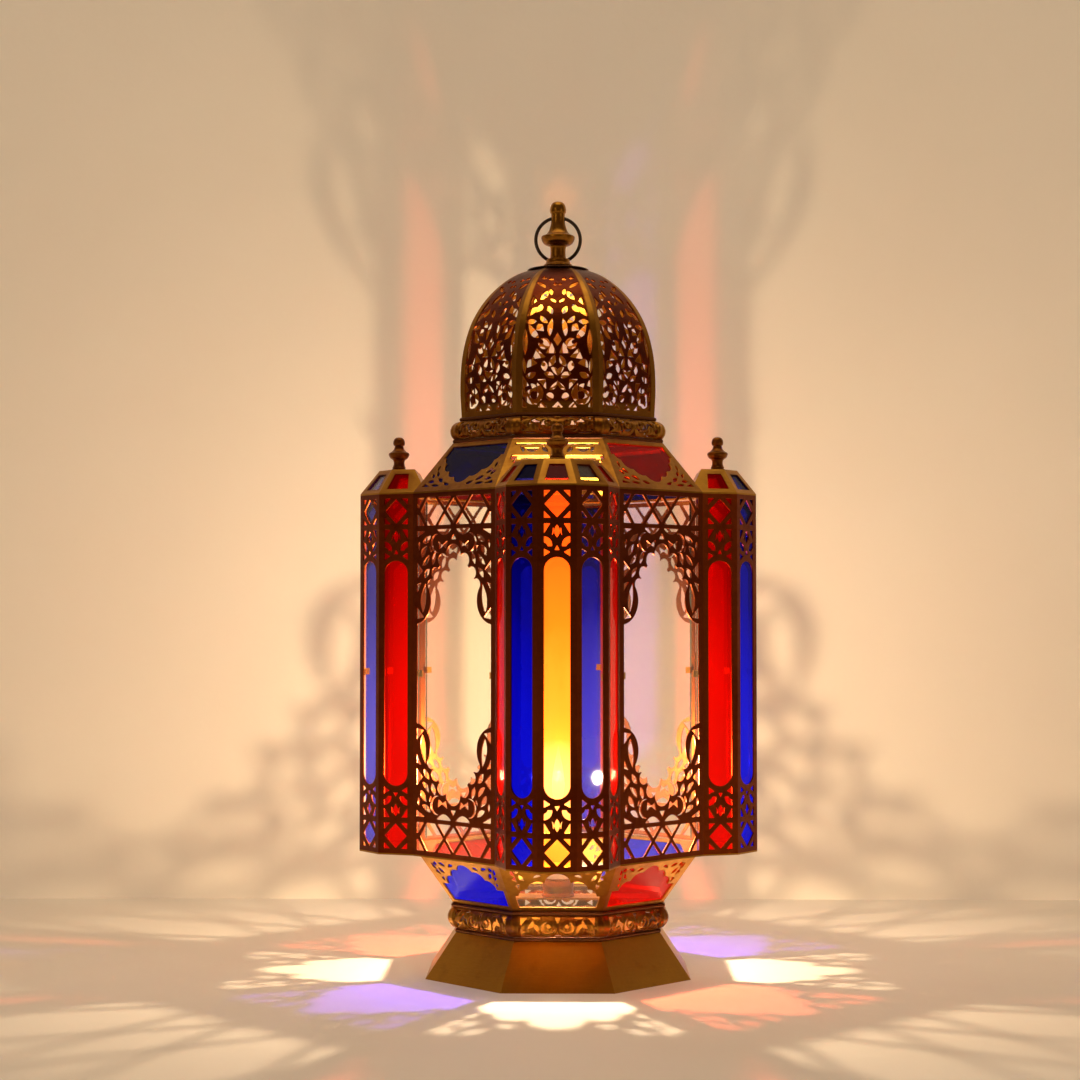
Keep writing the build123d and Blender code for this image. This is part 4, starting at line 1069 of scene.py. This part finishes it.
def dome_bright_mask(finish, place):
    """1 on the inside, along the eight folds and round the foot, where the dome shows bright brass
    instead of its painted shade; the inside is painted light from the candle. The bearing is
    counted in sides of the octagon, which meet at every half."""
    east, north, up = [finish.node("ShaderNodeSeparateXYZ", {0: place}, output=way) for way in "XYZ"]
    along = (east.maths("ARCTAN2", north) * (SIDES / (2 * pi))).maths("FRACT")
    from_fold = (along - 0.5).maths("ABSOLUTE")
    fold = finish.spread(from_fold, 0.060, 0.085, 1.0, 0.0)
    foot = finish.spread(up, 0.4335, 0.4365, 0.7, 0.0)
    # Painted light: the inside faces, lit by the candle, turn bright.
    normal = finish.node("ShaderNodeNewGeometry", output="Normal")
    middle = {0: place, 1: (0.0, 0.0, 0.45)}
    spoke = finish.node("ShaderNodeVectorMath", middle, operation="SUBTRACT")
    ways = {0: normal, 1: spoke}
    outwards = finish.node("ShaderNodeVectorMath", ways, output="Value", operation="DOT_PRODUCT")
    inside = finish.spread(outwards, -0.030, -0.020, 1.0, 0.0)
    return inside.maths("MAXIMUM", fold.maths("MAXIMUM", foot))


# The dome takes the painted-shade copy of the brass, lightened by dome_bright_mask.
dome_brass = rubbed_brass("dome_brass", *SHADED_BRASS_TONES, 0.20, dome_bright_mask)
dome = make_piece("dome_fretwork", *dome_shape, dome_brass)
STUD_HOLE_R = 3.3
top_r, top_z = DOME[-1]
disc_r = top_r / cos(pi / SIDES) - 1.2
crown_disc = [(STUD_HOLE_R, top_z - SHEET), (disc_r, top_z - SHEET), (disc_r, top_z), (STUD_HOLE_R, top_z)]
crown_disc.append(crown_disc[0])
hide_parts("dome_shell")
make_piece("dome_crown_disc", *turn_on_lathe(crown_disc, 64), brass)

# Crown: a dark spun cap over the dome's top, a turned collar and finial on one stud, with a nut
# inside, and a hole through the finial's knob for the hanging ring.
CROWN_TOP = 600.0
cap_section = smooth_run([
    (3.3, 547.6), (3.3, 547.6), (10.8, 547.6), (10.8, 547.6), (16.0, 546.5), (20.4, 545.6), (23.6, 544.9),
    (24.1, 545.2), (24.0, 545.7), (23.2, 546.2), (20.4, 546.7), (15.4, 547.7), (10.8, 548.6), (10.8, 548.6),
    (3.3, 548.6), (3.3, 548.6), (3.3, 547.6),
])
spun_dark = rubbed_brass("spun_cap", (0.11, 0.045, 0.018), (0.035, 0.012, 0.006), 0.28)
cap = make_piece("dome_cap_spun", *turn_on_lathe(cap_section, 96), spun_dark, slot="dark_wire", sharp=50.0)
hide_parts("dome_cap")
collar_section = smooth_run([
    (3.3, 548.6), (3.3, 548.6), (11.2, 548.6), (11.2, 548.6), (11.4, 549.3), (11.0, 550.0), (10.2, 550.5),
    (10.2, 550.5), (9.7, 551.2), (9.3, 552.4), (9.2, 553.4), (8.9, 554.2), (8.3, 554.6), (8.3, 554.6),
    (3.3, 554.6), (3.3, 554.6), (3.3, 548.6),
])
collar = make_piece("crown_collar_turned", *turn_on_lathe(collar_section, 80), brass, sharp=50.0)
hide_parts("crown_collar")
crown_section = smooth_run([
    (0.0, 534.0), (0.0, 534.0), (3.0, 534.0), (3.0, 534.0), (3.0, 554.6), (3.0, 554.6), (6.5, 554.6),
    (6.5, 554.6), (6.6, 555.2), (6.1, 556.2), (5.9, 558.6), (5.9, 562.0), (6.4, 564.2), (7.4, 565.0),
    (7.4, 565.0), (9.8, 565.9), (12.0, 567.9), (13.0, 570.4), (13.1, 571.9), (12.7, 572.6), (12.7, 572.6),
    (9.8, 573.9), (7.7, 576.2), (6.5, 579.2), (5.6, 582.8), (5.3, 587.0), (5.4, 590.4), (5.4, 590.4),
    (6.1, 591.2), (6.3, 592.6), (6.25, 594.2), (5.6, 596.8), (4.2, 598.9), (2.2, 599.8), (0.0, CROWN_TOP),
])
crown = make_piece("crown_finial_turned", *turn_on_lathe(crown_section, 72), brass, sharp=50.0)
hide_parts("crown_finial")

# Hanging ring: a loop of dark wire through the finial, leaning back against the collar.
RING_R = 17.5
RING_WIRE_R = 1.35
RING_PIVOT_Z = 587.3
RING_TILT = 18.3


def wire_ring(segments=120, around=20):
    """A ring of round wire: the wire's circle is carried round the ring's circle, which hangs
    from the pivot and leans back by the tilt."""
    turn, roll = np.meshgrid(
        np.linspace(0, 2 * pi, segments, endpoint=False),
        np.linspace(0, 2 * pi, around, endpoint=False), indexing="ij",
    )
    reach = RING_R + RING_WIRE_R * np.cos(roll)
    lean = radians(RING_TILT)
    x, down, off = reach * np.cos(turn), RING_R - reach * np.sin(turn), RING_WIRE_R * np.sin(roll)
    y = down * sin(lean) + off * cos(lean)
    z = RING_PIVOT_Z - down * cos(lean) + off * sin(lean)
    return np.stack([x, y, z], axis=-1).reshape(-1, 3), [grid_quads(segments, around, closed=True)]


ring_wire = drawn_metal("dark_wire", (0.10, 0.075, 0.055), (0.045, 0.03, 0.02), 0.25)
ring = make_piece("hanging_ring_wire", *wire_ring(), ring_wire, body="ring", slot="dark_wire", sharp=80.0)
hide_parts("hanging_ring")

# Candle fittings: a flat strip across the bowl's foot, and the turned cup soldered on it.
refinish(brass, "candle_bridge")
cup_section = smooth_run([
    (0.0, 58.0), (0.0, 58.0), (12.6, 58.0), (12.6, 58.0), (12.8, 58.7), (12.4, 59.5), (11.8, 60.1),
    (11.8, 60.1), (11.5, 61.2), (11.8, 63.6), (12.3, 66.2), (12.0, 68.6), (11.5, 70.4), (11.5, 70.4),
    (12.3, 71.2), (12.3, 71.8), (11.6, 72.0), (10.3, 72.0), (10.3, 72.0), (10.3, 60.0), (10.3, 60.0),
    (0.0, 60.0),
])
cup = make_piece("candle_cup_turned", *turn_on_lathe(cup_section, 80), brass, sharp=50.0)
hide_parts("candle_cup")

# Candle: cream wax that stands in the cup, with a soft rim, a melted pool and a charred wick. It
# is lit, and the flame moves with it.
wax_section = smooth_run([
    (0.0, 60.0), (0.0, 60.0), (9.9, 60.0), (9.9, 60.0), (9.95, 75.0), (9.9, 95.0), (9.95, 115.0),
    (9.8, 124.5), (9.3, 127.0), (8.6, 127.9), (8.0, 127.6), (7.2, 126.0), (5.0, 124.6), (2.4, 124.2),
    (0.9, 124.0), (0.0, 124.0),
])


def candle_wax():
    """Translucent cream wax with a painted glow, warm and faint, near its top."""
    finish = Finish("candle_wax")
    place = finish.place()
    cloud = finish.noise(place, 55.0, detail=4.0)
    height = finish.up(place)
    top = finish.spread(height, 0.070, 0.128)
    cream, yellowed = (0.86, 0.78, 0.62), (0.78, 0.66, 0.47)
    tone = finish.mix(finish.spread(cloud, 0.3, 0.7), cream, yellowed)
    # Painted glow: orange emission that rises towards the top of the wax, standing in for the flame's light
    # in it.
    painted_glow = finish.ramp(top * top, (0.0, (0.02, 0.008, 0.002)), (1.0, (1.0, 0.50, 0.14)))
    shader = finish.principled({
        "Base Color": tone, "Roughness": 0.38 + 0.12 * cloud, "Subsurface Weight": 0.25,
        "Emission Color": painted_glow, "Emission Strength": 0.9,
        "Normal": finish.bump(cloud, 0.2, 0.0008),
    })
    return finish.end(shader)


wax_shape = turn_on_lathe(wax_section, 64)
wax = make_piece("candle_wax_stick", *wax_shape, candle_wax(), body="candle", slot="wax", sharp=60.0)
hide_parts("candle")


def twisted_wick(segments=24, rows=40):
    """A braided cord that bends over at its tip: a three-lobed section turned as it climbs."""
    turn = np.linspace(0, 2 * pi, segments, endpoint=False)
    t, angle = np.meshgrid(np.linspace(0, 1, rows), turn, indexing="ij")
    radius = (0.62 + 0.14 * np.cos(3 * (angle - 9.0 * t))) * np.sqrt(np.clip(1.0 - t**16, 0.02, 1.0))
    bend = 1.6 * t**3
    x = bend + radius * np.cos(angle)
    y = 0.5 * bend + radius * np.sin(angle)
    z = 123.0 + 11.6 * t - 0.3 * bend
    side = np.stack([x, y, z], axis=-1).reshape(-1, 3)
    ends = np.array([[0.0, 0.0, 123.0], [1.6, 0.8, 134.2]])
    foot, tip = rows * segments, rows * segments + 1
    ring = np.arange(segments)
    last = (rows - 1) * segments
    fans = [
        np.stack([np.full(segments, foot), (ring + 1) % segments, ring], axis=1),
        np.stack([np.full(segments, tip), last + ring, last + (ring + 1) % segments], axis=1),
    ]
    return np.concatenate([side, ends]), [grid_quads(rows, segments), *fans]


def charred_cotton():
    """Cotton that is cream at its root and burnt black above the wax."""
    finish = Finish("wick_cotton")
    place = finish.place()
    height = finish.up(place)
    fibre = finish.noise(finish.stretched(place, (900.0, 900.0, 300.0)), 1.0)
    burnt = finish.spread(height + 0.002 * fibre, 0.1255, 0.1290)
    tone = finish.mix(burnt, (0.55, 0.42, 0.26), (0.02, 0.015, 0.012))
    shader = finish.principled({
        "Base Color": tone, "Roughness": 0.8 + 0.1 * fibre, "Normal": finish.bump(fibre, 0.5, 0.0004),
    })
    return finish.end(shader)


cotton = charred_cotton()
wick_shape = twisted_wick()
wick = make_piece("candle_wick_cord", *wick_shape, cotton, body="candle", slot="wick_cotton", sharp=70.0)
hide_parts("wick")
flame_section = smooth_run([
    (0.0, 129.5), (1.6, 130.2), (3.2, 132.6), (4.5, 137.0), (5.0, 142.0), (4.7, 148.0), (3.7, 155.0),
    (2.5, 162.0), (1.3, 168.0), (0.5, 172.0), (0.0, 174.0),
])


def flame_light():
    """A candle flame: blue and dim at its foot, white hot in the middle, orange at its tip."""
    finish = Finish("candle_flame")
    place = finish.place()
    height = finish.up(place)
    flicker = finish.noise(place, 90.0, detail=1.0)
    rise = finish.spread(height + 0.004 * flicker, 0.130, 0.176)
    foot, root = (0.0, (0.12, 0.10, 0.35)), (0.18, (0.9, 0.42, 0.10))
    heart, tip = (0.45, (1.0, 0.80, 0.42)), (1.0, (1.0, 0.50, 0.10))
    glow = finish.ramp(rise, foot, root, heart, tip)
    shader = finish.principled({
        "Base Color": (0.0, 0.0, 0.0), "Roughness": 0.5 + 0.1 * flicker,
        "Emission Color": glow, "Emission Strength": 26.0,
    })
    return finish.end(shader)


flame_shape = turn_on_lathe(flame_section, 40)
flame = make_piece("candle_flame", *flame_shape, flame_light(), body="candle", slot="wick_cotton", sharp=80.0)
flame.visible_shadow = False

# Setting: a pale cream table and a wall behind it, lit by soft lamps and by the candle itself.
WALL_Y = 0.40
TABLE_HALF = 3.0


def plaster(name, light, shade, lift, see_through):
    """Warm matt paint with slow unevenness and a little light of its own, as in a bright room.
    The wall can be seen through from behind."""
    finish = Finish(name)
    place = finish.place()
    clouds = finish.noise(place, 2.2, detail=4.0)
    tooth = finish.noise(place, 60.0, detail=4.0)
    tone = finish.mix(finish.spread(clouds, 0.3, 0.7), light, shade)
    shader = finish.principled({
        "Base Color": tone, "Roughness": 0.75 + 0.1 * tooth, "Normal": finish.bump(tooth, 0.15, 0.002),
        "Emission Color": tone, "Emission Strength": lift,
    })
    if see_through:
        behind = finish.node("ShaderNodeNewGeometry", output="Backfacing")
        nothing = finish.node("ShaderNodeBsdfTransparent", {"Color": (1.0, 1.0, 1.0)})
        shader = finish.node("ShaderNodeMixShader", {0: behind, 1: shader, 2: nothing})
    return finish.end(shader)


def flat_stage(name, corners, material):
    mesh = bpy.data.meshes.new(name)
    mesh.from_pydata(corners, [], [(0, 1, 2, 3)])
    mesh.materials.append(material)
    sheet = bpy.data.objects.new(name, mesh)
    bpy.context.scene.collection.objects.link(sheet)


t = TABLE_HALF
table_paint = plaster("table_paint", (0.84, 0.75, 0.61), (0.79, 0.69, 0.54), 0.14, False)
wall_paint = plaster("wall_paint", (0.80, 0.68, 0.50), (0.74, 0.62, 0.45), 0.30, True)
flat_stage("table", [(-t, -t, 0), (t, -t, 0), (t, t, 0), (-t, t, 0)], table_paint)
flat_stage("wall", [(-t, WALL_Y, 0), (t, WALL_Y, 0), (t, WALL_Y, 2 * t), (-t, WALL_Y, 2 * t)], wall_paint)


def lamp(name, kind, place, power, tint, size, aim=None):
    light = bpy.data.lights.new(name, kind)
    light.energy = power
    light.color = tint
    if kind == "AREA":
        light.shape = "DISK"
        light.size = size
    else:
        light.shadow_soft_size = size
    holder = bpy.data.objects.new(name, light)
    holder.visible_glossy = kind == "AREA"
    holder.visible_transmission = kind == "AREA"
    holder.location = place
    if aim is not None:
        way = np.array(place) - np.array(aim)
        lean, turn = np.arctan2(hypot(way[0], way[1]), way[2]), np.arctan2(way[1], way[0]) + pi / 2
        holder.rotation_euler = (lean, 0.0, turn)
    bpy.context.scene.collection.objects.link(holder)
    return holder


flame_lamp = lamp("flame_lamp", "POINT", (0.0, 0.0, FLAME[2]), 6.5, (1.0, 0.80, 0.60), 0.004)
flame_lamp.visible_glossy = True
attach(flame_lamp, "candle")
lamp("wall_wash", "AREA", (0.0, 0.0, 2.4), 13.0, (1.0, 0.84, 0.64), 2.0, (0.0, 0.40, 0.35))
lamp("key", "AREA", (-1.3, -1.6, 1.0), 1.6, (1.0, 0.80, 0.56), 0.5, (0.0, 0.0, 0.3))
lamp("fill", "AREA", (1.4, -1.2, 0.7), 0.8, (1.0, 0.76, 0.52), 0.5, (0.0, 0.0, 0.3))
world = bpy.data.worlds.new("room")
world.use_nodes = True
background = world.node_tree.nodes["Background"]
background.inputs["Color"].default_value = (1.0, 0.55, 0.30, 1.0)
background.inputs["Strength"].default_value = 0.09
bpy.context.scene.world = world
bpy.context.scene.view_settings.view_transform = "Standard"
